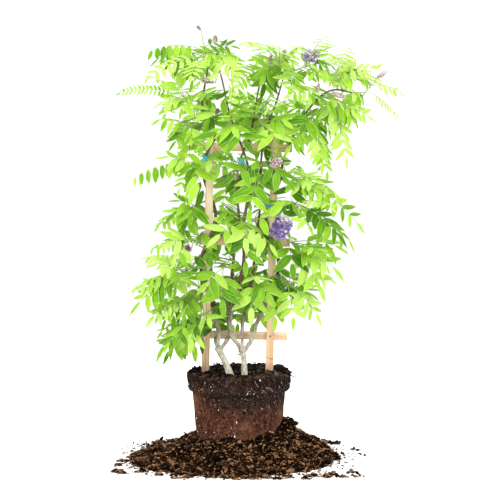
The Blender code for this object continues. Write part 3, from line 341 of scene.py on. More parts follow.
def smooth_line(points, step):
    """A Catmull-Rom curve through the points, with a point about every step."""
    points = [Vector(p) for p in points]
    ends = [points[0] * 2 - points[1], *points, points[-1] * 2 - points[-2]]
    line = []
    for a, b, c, d in zip(ends, ends[1:], ends[2:], ends[3:]):
        count = max(1, round((c - b).length / step))
        for i in range(count):
            t = i / count
            line.append(0.5 * (
                2 * b + (c - a) * t + (2 * a - 5 * b + 4 * c - d) * t * t
                + (3 * b - 3 * c + d - a) * t ** 3
            ))
    line.append(points[-1])
    return line


def heading(line, i):
    return (line[min(i + 1, len(line) - 1)] - line[max(i - 1, 0)]).normalized()


def tube_faces(rings, sides):
    """Faces of a closed tube whose points come ring by ring."""
    at = lambda r, k: r * sides + k % sides
    faces = [
        (at(r, k), at(r, k + 1), at(r + 1, k + 1), at(r + 1, k))
        for r in range(rings - 1) for k in range(sides)
    ]
    return faces + [tuple(range(sides))[::-1], tuple(range((rings - 1) * sides, rings * sides))]


def pipe(line, radius_at, sides, bumps=0.0):
    """Points and faces of a round tube along a line; radius_at takes a share of its length."""
    points = []
    across = heading(line, 0).orthogonal().normalized()
    for i, here in enumerate(line):
        ahead = heading(line, i)
        across = (across - ahead * across.dot(ahead)).normalized()
        other = ahead.cross(across)
        for k in range(sides):
            a = TURN * k / sides
            ray = across * math.cos(a) + other * math.sin(a)
            radius = radius_at(i / (len(line) - 1))
            if bumps:
                radius *= 1 + bumps * noise.noise((here + ray * radius) * 160)
            points.append(here + ray * radius)
    return points, tube_faces(len(line), sides)


def taper(start, end):
    """The radius of a pipe that narrows evenly."""
    return lambda t: start - (start - end) * t


def strand(soup, points, step, radii, sides, bumps=0.0, **marks):
    """Adds a smooth strand through the points, narrowing between two radii. Returns its line."""
    line = smooth_line(points, step)
    soup.add(*pipe(line, taper(*radii), sides, bumps), **marks)
    return line


def polar(radius, angle, height=0.0):
    return radius * math.cos(angle), radius * math.sin(angle), height


def bumpy(place, *layers):
    """Noise at a place, summed over layers of (scale, height)."""
    return sum(noise.noise(place * scale) * height for scale, height in layers)


def blade_grid(stations):
    """Faces of a thin closed blade: five points across its top at each station, three more
    below, and one point at either end."""
    top = lambda i, j: i * 5 + j
    low = lambda i, j: top(i, j) if j in (0, 4) else stations * 5 + i * 3 + j - 1
    foot, tip, last = stations * 8, stations * 8 + 1, stations - 1
    faces = []
    for j in range(4):
        for i in range(last):
            faces.append((top(i, j), top(i, j + 1), top(i + 1, j + 1), top(i + 1, j)))
            faces.append((low(i + 1, j), low(i + 1, j + 1), low(i, j + 1), low(i, j)))
        faces += [(foot, top(0, j + 1), top(0, j)), (foot, low(0, j), low(0, j + 1))]
        faces += [(tip, top(last, j), top(last, j + 1)), (tip, low(last, j + 1), low(last, j))]
    return faces


STATIONS = np.array([0.04, 0.13, 0.27, 0.42, 0.58, 0.74, 0.88])
ACROSS = np.array([-1.0, -0.52, 0.0, 0.52, 1.0])
BLADE_FACES = blade_grid(len(STATIONS))


def blade_points(length, half, waist, droop, fold, ripple, thick, roll):
    """A leaflet or petal lying along +Y, its upper face towards +Z: waist is where it is widest,
    droop bends its tip down, fold lowers its edges and ripple waves them."""
    s, u = STATIONS[:, None], ACROSS[None, :]
    width = (s / waist) ** 0.62 * ((1 - s) / (1 - waist)) ** (0.71 * (1 - waist) / waist)
    width = np.minimum(width, 1.0) * half
    x = u * width
    height = -length * (1 - np.cos(droop * s)) / droop - fold * np.abs(u) ** 1.4 * width
    height = height + ripple * half * np.sin(s * 17 - 1) * u * np.abs(u)
    height = height + roll * half * u ** 2 * (s - 0.4)
    depth = np.broadcast_to(length * np.sin(droop * s) / droop, x.shape)
    swell = thick / 2 * (1 - np.abs(u) ** 2) * np.ones_like(x)
    top = np.stack([x, depth, height + swell], -1).reshape(-1, 3)
    low = np.stack([x, depth, height - swell], -1)[:, 1:4].reshape(-1, 3)
    end = [0.0, length * math.sin(droop) / droop, -length * (1 - math.cos(droop)) / droop]
    return np.concatenate([top, low, [[0, 0, 0], end]])


def blade_marks(tone):
    count = len(STATIONS)
    across = np.concatenate([np.tile(ACROSS, count), np.tile(ACROSS[1:4], count), [0, 0]])
    along = np.concatenate([np.repeat(STATIONS, 5), np.repeat(STATIONS, 3), [0, 1]])
    under = np.concatenate([np.zeros(count * 5), np.ones(count * 3), [0, 0]])
    return np.stack([across, along, np.full(len(along), tone)], -1), under


def add_blade(soup, points, foot, ahead, face, tone):
    """Adds a blade at a foot, with +Y along ahead and +Z nearest to face."""
    ahead = ahead.normalized()
    side = ahead.cross(face).normalized()
    turned = points @ np.array([side, ahead, side.cross(ahead)]) + np.array(foot)
    soup.add(turned, BLADE_FACES, 0, *blade_marks(tone))


# ---- leaves

LEAF_RISE = 0.20  # how high a leaf arches, as a share of its length
PAIR_GAP = 0.58  # between two pairs of leaflets, as a share of their length
LEAF_TILT, LEAF_TILT_RISING = 1.2, 0.4  # how far a leaf's face turns outwards from straight up
LEAF_SPREAD = 3.0  # how far that turn is to the side, per metre from the plant's middle
LEAF_PART = 0.02  # leaves further back than this face backwards
ROW_HANG = 2.0  # leaflets that hang further than this are the larger ones of an open row
ROW_LENGTH, ROW_WIDTH = 1.16, 1.45  # how much larger they are
HANGS = [0.0, 0.0, 0.1, 0.25, 0.55]  # how far the leaflets of the other leaves hang
LEAFLET_WIDTH = (0.145, 0.185)  # from a leaflet's middle to its edge, as a share of its length
PALEST = 0.60  # the tone of the palest leaflets


def arch(base, tip, t):
    """A point on the arched rachis between a leaf's base and tip."""
    crown = (base + tip) / 2 + Vector((0, 0, (tip - base).length * LEAF_RISE))
    return base * (1 - t) ** 2 + crown * 2 * t * (1 - t) + tip * t ** 2


def leaf_side(base, tip, chance):
    """The level way across a leaf, whose face turns outwards from the plant."""
    chord = (tip - base).normalized()
    middle = arch(base, tip, 0.6)
    outward = Vector((LEAF_SPREAD * middle.x, 1.0 if middle.y > LEAF_PART else -1.0, 0.0))
    outward.normalize()
    tilt = (LEAF_TILT if chord.z < 0.2 else LEAF_TILT_RISING) * chance.uniform(0.6, 1.7)
    return chord.cross(Vector((0, 0, 1)) + tilt * outward).normalized()


def add_leaf(soup, chance, base, tip, size, hang, tone):
    """A pinnate leaf: an arched rachis with pairs of leaflets and one at its end."""
    row = hang > ROW_HANG
    long = LEAFLET[size] * MM * (ROW_LENGTH if row else 1.0)
    reach = (tip - base).length
    side = leaf_side(base, tip, chance)
    last = 0.96 if row else max(1 - 0.95 * long / reach, 0.45)
    first = 0.26 if reach > 0.12 else 0.2
    pairs = max(2, round((last - first) * reach / (long * PAIR_GAP)) + 1)
    line = [arch(base, tip, last * i / 12) for i in range(13)]
    thin = 0.0007 if size in "TY" else 0.00095
    soup.add(*pipe(line, lambda t: thin * (1.35 - 0.7 * t), 6), 1, (0.0, 0.3, tone))
    for k in range(pairs + 1):
        end = k == pairs
        t = last if end else first + (last - first) * k / pairs
        here = arch(base, tip, t)
        along = (arch(base, tip, t + 0.02) - arch(base, tip, t - 0.02)).normalized()
        face = side.cross(along)
        grown = 0.78 + 0.34 * math.sin(math.pi * min(1.0, 0.25 + 0.75 * k / pairs))
        for sign in ((0,) if end else (-1, 1)):
            spread = math.radians(chance.uniform(56, 76) - 10 * k / pairs)
            ahead = along * math.cos(spread) + side * (sign * math.sin(spread))
            if end:
                ahead = along + side * chance.uniform(-0.12, 0.12)
            fall = hang * chance.uniform(0.7, 1.25)
            ahead = (ahead.normalized() + Vector((0, 0, -fall))).normalized()
            up = (face + side * sign * -0.25 + Vector((0, 0, 0.2))).normalized()
            up = (up + ahead * 0.01).normalized()
            length = long * grown * chance.uniform(0.86, 1.06)
            if in_the_way(here + ahead * length * 0.5) or in_the_way(here + ahead * length):
                continue
            points = blade_points(
                length, length * chance.uniform(*LEAFLET_WIDTH) * (ROW_WIDTH if row else 1.0), 0.42,
                chance.uniform(0.1, 0.6), chance.uniform(0.05, 0.4),
                chance.uniform(0.0, 0.10), 0.0005, chance.uniform(-0.1, 0.2),
            )
            foot = here + (side * sign + along * 0.3) * 0.0004
            own = min(max(tone + chance.uniform(-0.17, 0.17), 0.0), PALEST)
            add_blade(soup, points, foot, ahead, up, own)


def along_line(points, share):
    """A point at a share of a polyline's length."""
    lengths = [(b - a).length for a, b in zip(points, points[1:])]
    left = share * sum(lengths)
    for a, b, length in zip(points, points[1:], lengths):
        if left <= length:
            return a.lerp(b, left / length)
        left -= length
    return points[-1]


def reach_at(height):
    """How far the foliage reaches to the left and to the right at a height."""
    for (low, *near), (high, *far) in zip(REACH, REACH[1:]):
        if height <= high:
            share = (height - low) / (high - low)
            return [a + (b - a) * share for a, b in zip(near, far)]
    return REACH[-1][1:]


def fill_leaves():
    """Leaves that close the gaps between the shoots' own: each blade's middle keeps away from the
    others inside the plant's outline, and the leaf grows from the nearest shoot."""
    chance = random.Random(SEED)
    axes = {name: [Vector(p) for p in axis] for name, (axis, _) in SHOOTS.items()}
    buds = [
        (name, place, along_line(axis, place))
        for name, axis in axes.items() for place in (0.3, 0.45, 0.6, 0.75, 0.9)
    ]
    taken = [
        along_line(axes[name], row[0]).lerp(Vector(row[1]), FILL_MIDDLE)
        for name, (_, leaves) in SHOOTS.items() for row in leaves
    ]
    found = {name: [] for name in SHOOTS}
    least, most = (length * FILL_MIDDLE for length in FILL_LENGTH)
    for _ in range(FILL_LEAVES):
        tries = []
        for _ in range(FILL_TRIES):
            z = chance.uniform(REACH[0][0], REACH[-1][0])
            left, right = reach_at(z)
            x = chance.uniform(left, right)
            depth = 1 - 0.8 * abs((2 * x - left - right) / (right - left)) ** 2
            tries.append(Vector((x, chance.uniform(REACH_FRONT, REACH_BACK) * depth, z)))
        apart = lambda p: min(((p - other) * FILL_WEIGHTS).length for other in taken)
        middle = max(tries, key=apart)
        taken.append(middle)
        near = [bud for bud in buds if least < (bud[2] - middle).length < most]
        if near:
            cost = lambda bud: (bud[2] - middle).length + max(0.0, middle.z - bud[2].z)
            name, place, start = min(near, key=cost)
            tip = start + (middle - start) / FILL_MIDDLE
            left, right = reach_at(tip.z)
            tip.x = min(max(tip.x, left - 8), right + 8)
            tip.y = min(max(tip.y, REACH_FRONT), REACH_BACK)
            tip.z = min(tip.z, REACH[-1][0] + 8)
            small = tip.z > 960 or abs(tip.x - 30) > 200
            found[name].append((place, tuple(tip), chance.choice("SM" if small else "ML")))
    return found


def foliage_tone_and_painted_light(size, tip, chance):
    """0 is a dark old leaf and 1 a pale young one: the inner leaves are darker with painted shade,
    the outer and highest ones paler with painted light.
    """
    tone = {"L": 0.34, "M": 0.41, "S": 0.48, "Y": 0.48, "T": 0.55}[size]
    outer = min(1.0, abs(tip.x - 0.03) / 0.30) ** 2
    inner = max(0.0, 1 - abs(tip.y) / 0.09) * (1 - outer)
    high = max(0.0, tip.z - 0.9)
    # inner darkens the leaves in the middle of the plant as painted shade; outer and high make the
    # side and top leaves paler as painted light.
    return tone + chance.uniform(-0.28, 0.22) + 0.03 * outer + 0.22 * high - 0.34 * inner


def in_wood(place, room):
    """True inside the trellis, or within a little room, 0 or 1 mm, of it."""
    x, y, z = place / MM
    x -= (z - SOIL_Z) * LEAN
    beside = min(abs(x - post_x) for post_x in POST_X) < 15
    level = min(abs(z - RAIL_Z - i * RAIL_PITCH) for i in range(RAIL_COUNT)) < 13 + room
    return (
        beside and abs(y) < 8 + room and z < POST_TOP + 3 + 3 * room
        or level and 2 - 2 * room < y < 13 + room and RAIL_ENDS[0] < x < RAIL_ENDS[1]
    )


def in_the_way(place):
    """True inside the trellis, close in front of a flower head or tie, and before bare wood."""
    x, y, z = place / MM
    for _, foot, tip, radius, _ in [*FLOWERS.values(), *SMALL_HEADS.values()]:
        foot, tip = Vector(foot), Vector(tip)
        way = (tip - foot).xz
        share = (Vector((x, z)) - foot.xz).dot(way) / way.length_squared
        near = foot.lerp(tip, min(max(share, 0.0), 1.0))
        if (near.xz - Vector((x, z))).length < radius and near.y - 90 < y < near.y + radius:
            return True
    for _, cane, height, _, _ in TIES.values():
        tie_x = cane_centre(cane, height)[0].x / MM
        if abs(x - tie_x) < 12 and abs(z - height) < 12 and -70 < y < 8:
            return True
    x -= (z - SOIL_Z) * LEAN
    bare = any(left < x < right and low < z < high for left, right, low, high in BARE)
    return in_wood(place, 0) or bare and y < 0


def hits_wood(base, tip):
    """True where a leaf's rachis would pass through a lath of the trellis."""
    return any(in_wood(arch(base, tip, share / 12), 1) for share in range(3, 13))


# No leaf hangs before these, given as (left, right, low, high): the left post, the vines' forks.
FORKS = 345
BARE = [(POST_X[0] - 18, POST_X[0] + 18, 672, 756), (-85, 30, 0, FORKS)]
# Leaves that fill out the plant's outline, given as a shoot's own are.
MORE_LEAVES = {
    "shoot_right_mid": [(0.9, (304, -84, 560), "L", 0.0)],
    "shoot_right_low_mid": [(0.9, (300, -70, 470), "L", 0.0), (0.8, (318, -30, 548), "L", 0.1)],
    "shoot_right_upper": [(0.9, (352, -60, 596), "M", 0.0), (0.5, (92, -96, 846), "M", 0.0)],
    "shoot_right_high": [(0.6, (112, -88, 796), "M", 0.1)],
    "shoot_right_outer": [(0.9, (364, 20, 930), "M", 0.3), (0.7, (340, -40, 872), "M", 0.3)],
    "shoot_right_top": [(0.9, (372, -20, 1024), "S", 0.2), (0.9, (418, -30, 1034), "S", 0.2)],
    "shoot_left_upper": [(0.9, (-232, -30, 812), "M", 0.2)],
    "shoot_left_low": [(0.9, (-312, -40, 372), "L", 0.1)],
    "shoot_left_bottom": [(0.9, (-244, -50, 252), "L", 0.2), (0.8, (-206, -70, 268), "L", 0.2)],
    "shoot_left_lower": [(0.8, (-268, -40, 350), "M", 0.2), (0.9, (-306, -30, 462), "M", 0.2)],
}
SHOOT_RADII = (0.0021, 0.0012)
# Where the foliage is thin, as (left, right, low, high, one filling leaf in how many is left out).
THIN = [(-400, -140, 690, 860, 1), (160, 420, 400, 900, 2), (-400, -210, 380, 520, 2)]


def thinned(tip, index):
    """True for a filling leaf that is left out where the foliage is thin."""
    return any(
        left < tip[0] < right and low < tip[2] < high and index % every == 0
        for left, right, low, high, every in THIN
    )


def build_shoots(looks):
    chance = random.Random(SEED + 1)
    fill = fill_leaves()
    for name, (points, leaves) in SHOOTS.items():
        axis = [Vector(p) * MM for p in points]
        soup = Soup()
        strand(soup, axis, 0.004, SHOOT_RADII, 8, 0.1, slot=1, blade=(0.0, 0.0, 0.4))
        kept = [leaf for i, leaf in enumerate(fill[name]) if not thinned(leaf[1], i)]
        for place, tip, size, *hang in leaves + kept + MORE_LEAVES.get(name, []):
            if -95 < tip[0] < 20 and tip[2] < FORKS and tip[1] < 0:
                continue  # the vines' forks are bare
            hang = hang[0] if hang else chance.choice(HANGS)
            base, tip = along_line(axis, min(place, 0.97)), Vector(tip) * MM
            for step in (0.0, -0.02, 0.02, -0.04, 0.04, -0.06, 0.06):
                moved = tip + Vector((0, step, 0))
                if not hits_wood(base, moved):
                    tip = moved
                    break
            add_leaf(soup, chance, base, tip, size, hang, foliage_tone_and_painted_light(size, tip, chance))
        piece(name + "_foliage", soup, [looks["leaf"], looks["green_stem"]], "foliage", name)


# ---- materials

class Value:
    """A value in a material's nodes, with arithmetic by its Math nodes."""

    def __init__(self, look, socket):
        self.look, self.socket = look, socket

    def __add__(self, other):
        return self.look.math("ADD", self, other)

    def __sub__(self, other):
        return self.look.math("SUBTRACT", self, other)

    def __rsub__(self, other):
        return self.look.math("SUBTRACT", other, self)

    def __mul__(self, other):
        return self.look.math("MULTIPLY", self, other)

    def clamped(self):
        self.socket.node.use_clamp = True
        return self


class Look:
    """A procedural material over object coordinates, built a node at a time."""

    def __init__(self, name, roughness, specular=0.35):
        self.made = bpy.data.materials.new(name)
        self.made.use_nodes = True
        self.tree = self.made.node_tree
        self.shader = self.tree.nodes["Principled BSDF"]
        self.shader.inputs["Roughness"].default_value = roughness
        self.shader.inputs["Specular IOR Level"].default_value = specular
        self.place = self.node("ShaderNodeTexCoord").outputs["Object"]

    def node(self, kind, inputs=(), **settings):
        made = self.tree.nodes.new(kind)
        for key, value in settings.items():
            setattr(made, key, value)
        for key, value in dict(inputs).items():
            self.feed(made.inputs[key], value)
        return made

    def feed(self, socket, value):
        value = value.socket if isinstance(value, Value) else value
        if isinstance(value, bpy.types.NodeSocket):
            self.tree.links.new(value, socket)
        else:
            socket.default_value = value

    def math(self, operation, a, b=0.0):
        made = self.node("ShaderNodeMath", {0: a, 1: b}, operation=operation)
        return Value(self, made.outputs[0])

    def noise(self, scale, detail=4.0, stretch=(1, 1, 1), rough=0.6):
        place = self.place
        if stretch != (1, 1, 1):
            scaled = self.node("ShaderNodeVectorMath", {0: place, 1: stretch}, operation="MULTIPLY")
            place = scaled.outputs[0]
        inputs = {"Vector": place, "Scale": scale, "Detail": detail, "Roughness": rough}
        return Value(self, self.node("ShaderNodeTexNoise", inputs).outputs["Fac"])

    def cells(self, scale):
        inputs = {"Vector": self.place, "Scale": scale}
        return self.node("ShaderNodeTexVoronoi", inputs).outputs["Distance"]

    def ramp(self, value, *stops):
        made = self.node("ShaderNodeValToRGB", {"Fac": value})
        elements = made.color_ramp.elements
        while len(elements) < len(stops):
            elements.new(0.5)
        for element, (place, colour) in zip(elements, stops):
            element.position = place
            element.color = (*(colour if isinstance(colour, tuple) else (colour,) * 3), 1.0)
        return Value(self, made.outputs["Color"])

    def mix(self, share, a, b):
        a, b = ((*c, 1.0) if isinstance(c, tuple) else c for c in (a, b))
        inputs = {0: share, 6: a, 7: b}
        return self.node("ShaderNodeMix", inputs, data_type="RGBA").outputs[2]

    def axes(self, vector):
        """The three parts of a vector."""
        parts = self.node("ShaderNodeSeparateXYZ", {0: vector}).outputs
        return [Value(self, part) for part in parts]

    def tint(self, colour):
        self.feed(self.shader.inputs["Base Color"], colour)

    def bump(self, height, distance):
        inputs = {"Height": height, "Distance": distance, "Strength": 1.0}
        normal = self.node("ShaderNodeBump", inputs).outputs["Normal"]
        self.feed(self.shader.inputs["Normal"], normal)

    def mark(self, name, output):
        return self.node("ShaderNodeAttribute", attribute_name=name).outputs[output]

    def blade(self):
        """The marks on a blade: across -1..1, along 0..1 and tone 0..1."""
        return self.axes(self.mark("blade", "Vector"))

    def translucent(self, share, colour):
        """Lets light through, as a thin leaf or petal does."""
        through = self.node("ShaderNodeBsdfTranslucent", {"Color": colour}).outputs[0]
        blend = self.node("ShaderNodeMixShader", {0: share, 1: self.shader.outputs[0], 2: through})
        self.feed(self.tree.nodes["Material Output"].inputs["Surface"], blend.outputs[0])


def leaf_look():
    look = Look("leaf", 0.5, 0.12)
    across, along, tone = look.blade()
    # A leaf's tone mark holds its painted shade and painted light as well as its own tone.
    green = look.ramp(
        tone + (look.noise(34, 3) - 0.5) * 0.34,
        (0.0, (0.035, 0.17, 0.002)), (0.18, (0.16, 0.40, 0.004)), (0.38, (0.42, 0.68, 0.045)),
        (0.60, (0.62, 0.80, 0.20)), (0.82, (0.76, 0.87, 0.42)), (1.0, (0.84, 0.92, 0.58)),
    )
    from_rib = look.math("ABSOLUTE", across)
    vein = (look.math("SINE", (along - from_rib * 0.13) * 66) - 0.72).clamped() * 1.6
    rib = (1.0 - from_rib * 9.0).clamped()
    ribbed = look.mix(look.math("MAXIMUM", rib, vein) * 0.45, green, (0.52, 0.76, 0.22))
    # Painted highlight: the edges of each leaflet are made pale.
    painted_edge_highlight = ((from_rib - 0.78) * 3.4).clamped()
    ribbed = look.mix(painted_edge_highlight * 0.75, ribbed, (0.88, 0.93, 0.62))
    under = Value(look, look.mark("under", "Fac"))
    both = look.mix(under * 0.40, ribbed, (0.42, 0.68, 0.22))
    look.tint(both)
    look.bump(look.noise(420, 3) * 0.5 - look.math("MAXIMUM", rib, vein * 0.6), 0.00035)
    look.translucent(0.50, look.mix(0.45, both, (0.80, 1.0, 0.10)))
    return look.made


def green_stem_look():
    look = Look("green_stem", 0.5)
    tone = look.blade()[2]
    green = look.ramp(tone, (0.3, (0.20, 0.36, 0.06)), (0.9, (0.50, 0.62, 0.16)))
    look.tint(look.mix(look.noise(70, 4) * 0.5, green, (0.30, 0.20, 0.09)))
    look.bump(look.noise(900, 2, (1, 1, 0.25)), 0.0003)
    return look.made


def bark_look():
    """Pale corky bark on the trunks and dark young bark on the canes, darkened further by painted
    shade from the foliage.
    """
    look = Look("bark", 0.82, 0.25)
    height = look.axes(look.place)[2]
    streaks = look.noise(240, 6, (1, 1, 0.22))
    pale = look.ramp(
        streaks, (0.30, (0.15, 0.125, 0.085)), (0.45, (0.38, 0.34, 0.265)),
        (0.60, (0.56, 0.53, 0.44)), (0.8, (0.70, 0.68, 0.60)),
    )
    # The canes' dark young bark: partly its own colour, partly painted shade under the foliage.
    young = look.ramp(
        streaks, (0.3, (0.035, 0.024, 0.014)), (0.55, (0.13, 0.095, 0.055)),
        (0.75, (0.26, 0.215, 0.14)),
    )
    patchy = height + (look.noise(22, 3) - 0.5) * 0.12
    colour = look.mix(look.ramp(patchy, (0.30, 0.0), (0.42, 1.0)), pale, young)
    pores = look.ramp(look.cells(420), (0.10, 1.0), (0.2, 0.0))
    look.tint(look.mix(pores * 0.5, colour, (0.50, 0.42, 0.30)))
    look.bump(look.noise(300, 6, (1, 1, 0.2)) + look.noise(90, 3) * 0.8, 0.0011)
    return look.made


def pine_look(name, stretch, bend, split=None):
    """Sawn softwood with its grain along one axis, and painted shade in a dark line along a split
    across it at a place.
    """
    look = Look(name, 0.62, 0.3)
    grain = look.noise(150, 5, stretch)
    bands = look.noise(38, 2, bend)
    wood = look.ramp(
        grain, (0.30, (0.50, 0.27, 0.14)), (0.44, (0.74, 0.50, 0.32)),
        (0.58, (0.83, 0.64, 0.45)), (0.78, (0.90, 0.78, 0.62)),
    )
    wood = look.mix(look.ramp(bands, (0.45, 0.0), (0.62, 0.45)), wood, (0.66, 0.36, 0.18))
    dirt = look.noise(26, 5)
    x, _, height = look.axes(look.place)
    low = look.ramp(height, (0.235, 0.75), (0.262, 0.0))
    stain = (low + look.ramp(dirt, (0.56, 0.0), (0.74, 0.35))).clamped()
    wood = look.mix(stain * dirt, wood, (0.10, 0.06, 0.035))
    if split:
        # Painted shade: a dark line along the split in the right post's front, where the crack's
        # inside is in shade.
        off = height + (x - split.x) * SPLIT_SLOPE - split.z
        ragged = off + (look.noise(160, 2) - 0.5) * 0.006
        split_painted_shade = (1.0 - look.math("ABSOLUTE", ragged) * 800).clamped()
        wood = look.mix(split_painted_shade, wood, (0.035, 0.018, 0.010))
    look.tint(wood)
    look.bump(grain + look.noise(700, 3, stretch), 0.0006)
    return look.made


def nail_look():
    look = Look("nail_steel", 0.42, 0.5)
    rust = look.noise(600, 5)
    look.tint(look.ramp(
        rust, (0.4, (0.30, 0.29, 0.28)), (0.55, (0.22, 0.16, 0.12)), (0.7, (0.16, 0.065, 0.025)),
    ))
    look.shader.inputs["Metallic"].default_value = 0.75
    look.bump(rust, 0.0002)
    return look.made


def tape_look(name, colour, deep):
    look = Look(name, 0.38, 0.5)
    worn = look.noise(190, 4)
    faded = tuple(0.5 * c + 0.5 for c in colour)
    look.tint(look.ramp(worn, (0.3, deep), (0.6, colour), (0.85, faded)))
    look.bump(worn + look.noise(1200, 2, (0.3, 0.3, 1.0)), 0.0004)
    return look.made


def fibre_look():
    """Moulded wood fibre: red-brown, with a dark damp band under the rim and a fine pale nap."""
    look = Look("fibre", 0.95, 0.03)
    x, _, z = look.axes(look.place)
    fibres = look.noise(260, 8, (1, 1, 1.8), 0.75) + (look.noise(105, 6, rough=0.7) - 0.5) * 0.55
    brown = look.ramp(
        fibres, (0.36, (0.006, 0.002, 0.002)), (0.45, (0.036, 0.012, 0.008)),
        (0.54, (0.088, 0.031, 0.019)), (0.70, (0.28, 0.14, 0.085)),
    )
    level = z + ((look.noise(11, 5) - 0.5) * 0.22 + x * 0.28)
    wet = look.ramp(level, (0.09, 0.0), (0.150, 0.45), (0.185, 0.95))
    dark = look.ramp(
        fibres, (0.38, (0.002, 0.001, 0.001)), (0.53, (0.020, 0.012, 0.009)),
        (0.70, (0.12, 0.085, 0.065)),
    )
    worn = look.mix(wet, brown, dark)
    rusty = look.ramp(look.noise(7.5, 4), (0.5, 0.0), (0.68, 0.5))
    worn = look.mix(rusty * (1.0 - wet), worn, (0.28, 0.12, 0.055))
    flecks = look.ramp(look.cells(310), (0.085, 1.0), (0.14, 0.0))
    few = look.ramp(look.noise(60, 2), (0.52, 0.0), (0.6, 1.0))
    look.tint(look.mix(flecks * few * 0.55, worn, (0.62, 0.50, 0.38)))
    look.bump(fibres + look.noise(70, 4), 0.0016)
    return look.made


def crumb_look(name, dark, middle, light):
    """Compost: each crumb has its own tone from its marks, with fine grain over it."""
    look = Look(name, 0.95, 0.03)
    tone = look.blade()[2]
    fine = look.noise(330, 6, rough=0.7)
    mixed = tone * 0.60 + (fine * 0.56 + (look.noise(20, 3) - 0.5) * 0.55)
    look.tint(look.ramp(mixed, (0.25, dark), (0.52, middle), (0.82, light)))
    look.bump(fine + look.noise(120, 4), 0.0018)
    return look.made


def perlite_look():
    look = Look("perlite", 0.8, 0.3)
    look.tint(look.ramp(look.noise(400, 3), (0.3, (0.72, 0.69, 0.64)), (0.6, (0.93, 0.92, 0.90))))
    look.bump(look.noise(900, 3), 0.0004)
    return look.made


def petal_look(name, *stops):
    look = Look(name, 0.55, 0.2)
    across, along, tone = look.blade()
    streaks = look.math("SINE", across * 21) * 0.045
    deep = (0.4 - along).clamped() * 0.7
    grain = (look.noise(240, 3) - 0.5) * 0.3
    colour = look.ramp(tone + streaks + (deep + grain), *stops)
    look.tint(colour)
    look.bump(streaks * 4.0 + look.noise(600, 2), 0.0003)
    look.translucent(0.30, colour)
    return look.made


def make_looks():
    upright, level = ((1, 1, 0.03), (1, 1, 0.06)), ((0.03, 1, 1), (0.06, 1, 1))
    return {
        "leaf": leaf_look(),
        "green_stem": green_stem_look(),
        "bark": bark_look(),
        "pine_left": pine_look("pine_left", *upright),
        "pine_right": pine_look("pine_right", *upright, lean(POST_X[1], 0, SPLIT_Z) * MM),
        "pine_level": pine_look("pine_level", *level),
        "nail": nail_look(),
        "tie_left": tape_look("tape_cyan", (0.05, 0.55, 0.62), (0.01, 0.24, 0.32)),
        "tie_centre": tape_look("tape_pale", (0.22, 0.62, 0.74), (0.05, 0.32, 0.46)),
        "tie_right_upper": tape_look("tape_blue", (0.03, 0.40, 0.72), (0.01, 0.16, 0.42)),
        "tie_right_lower": tape_look("tape_teal", (0.02, 0.22, 0.27), (0.008, 0.09, 0.13)),
        "fibre": fibre_look(),
        "soil": crumb_look(
            "soil", (0.002, 0.001, 0.001), (0.016, 0.010, 0.008), (0.075, 0.050, 0.036),
        ),
        "compost": crumb_look(
            "loose_compost", (0.0005, 0.0002, 0.0002), (0.034, 0.014, 0.005), (0.33, 0.180, 0.090),
        ),
        "crumb": crumb_look(
            "pot_crumb", (0.004, 0.002, 0.002), (0.030, 0.014, 0.009), (0.12, 0.065, 0.042),
        ),
        "perlite": perlite_look(),
        "petal": petal_look(
            "petal", (0.0, (0.22, 0.13, 0.38)), (0.25, (0.42, 0.32, 0.68)),
            (0.45, (0.62, 0.54, 0.84)), (0.66, (0.84, 0.80, 0.92)), (0.82, (0.72, 0.56, 0.42)),
            (1.0, (0.95, 0.92, 0.86)),
        ),
        "bud": petal_look(
            "bud", (0.15, (0.16, 0.075, 0.085)), (0.45, (0.40, 0.26, 0.27)),
            (0.7, (0.66, 0.51, 0.52)), (1.0, (0.82, 0.72, 0.66)),
        ),
        "flower_stalk": green_stem_look(),
    }


# ---- vines

SEAM_HEIGHT = 0.36  # below it the canes of a vine are grown together
SEAM_VOXEL = 0.00125


def grown_together(soup):
    """The points, their normals and the faces of one skin round a soup's shapes."""
    helper = linked("helper", soup.mesh("grown"))
    remesh = helper.modifiers.new("skin", "REMESH")
    remesh.mode, remesh.voxel_size = "VOXEL", SEAM_VOXEL
    smooth = helper.modifiers.new("smooth", "SMOOTH")
    smooth.factor, smooth.iterations = 0.5, 6
    graph = bpy.context.evaluated_depsgraph_get()
    mesh = bpy.data.meshes.new_from_object(helper.evaluated_get(graph))
    bpy.data.objects.remove(helper, do_unlink=True)
    points = [(v.co.copy(), v.normal.copy()) for v in mesh.vertices]
    return points, [tuple(face.vertices) for face in mesh.polygons]


def cane_radius(foot, end, knots):
    """A cane's radius along it, swelling a little where side shoots left it."""
    def radius(share):
        swell = sum(0.28 * math.exp(-((share - knot) / 0.008) ** 2) for knot in knots)
        return (foot + (end - foot) * share) * MM * (1 + swell)
    return radius


def trunk_radius(foot, end):
    """A trunk's radius along it, with a burl half way and a flare at the fork."""
    burl = lambda t: 2.2 * math.exp(-((t - 0.42) / 0.1) ** 2)
    return lambda t: MM * (foot + (end - foot) * t + burl(t) + 1.6 * max(0, t - 0.8) * 5)


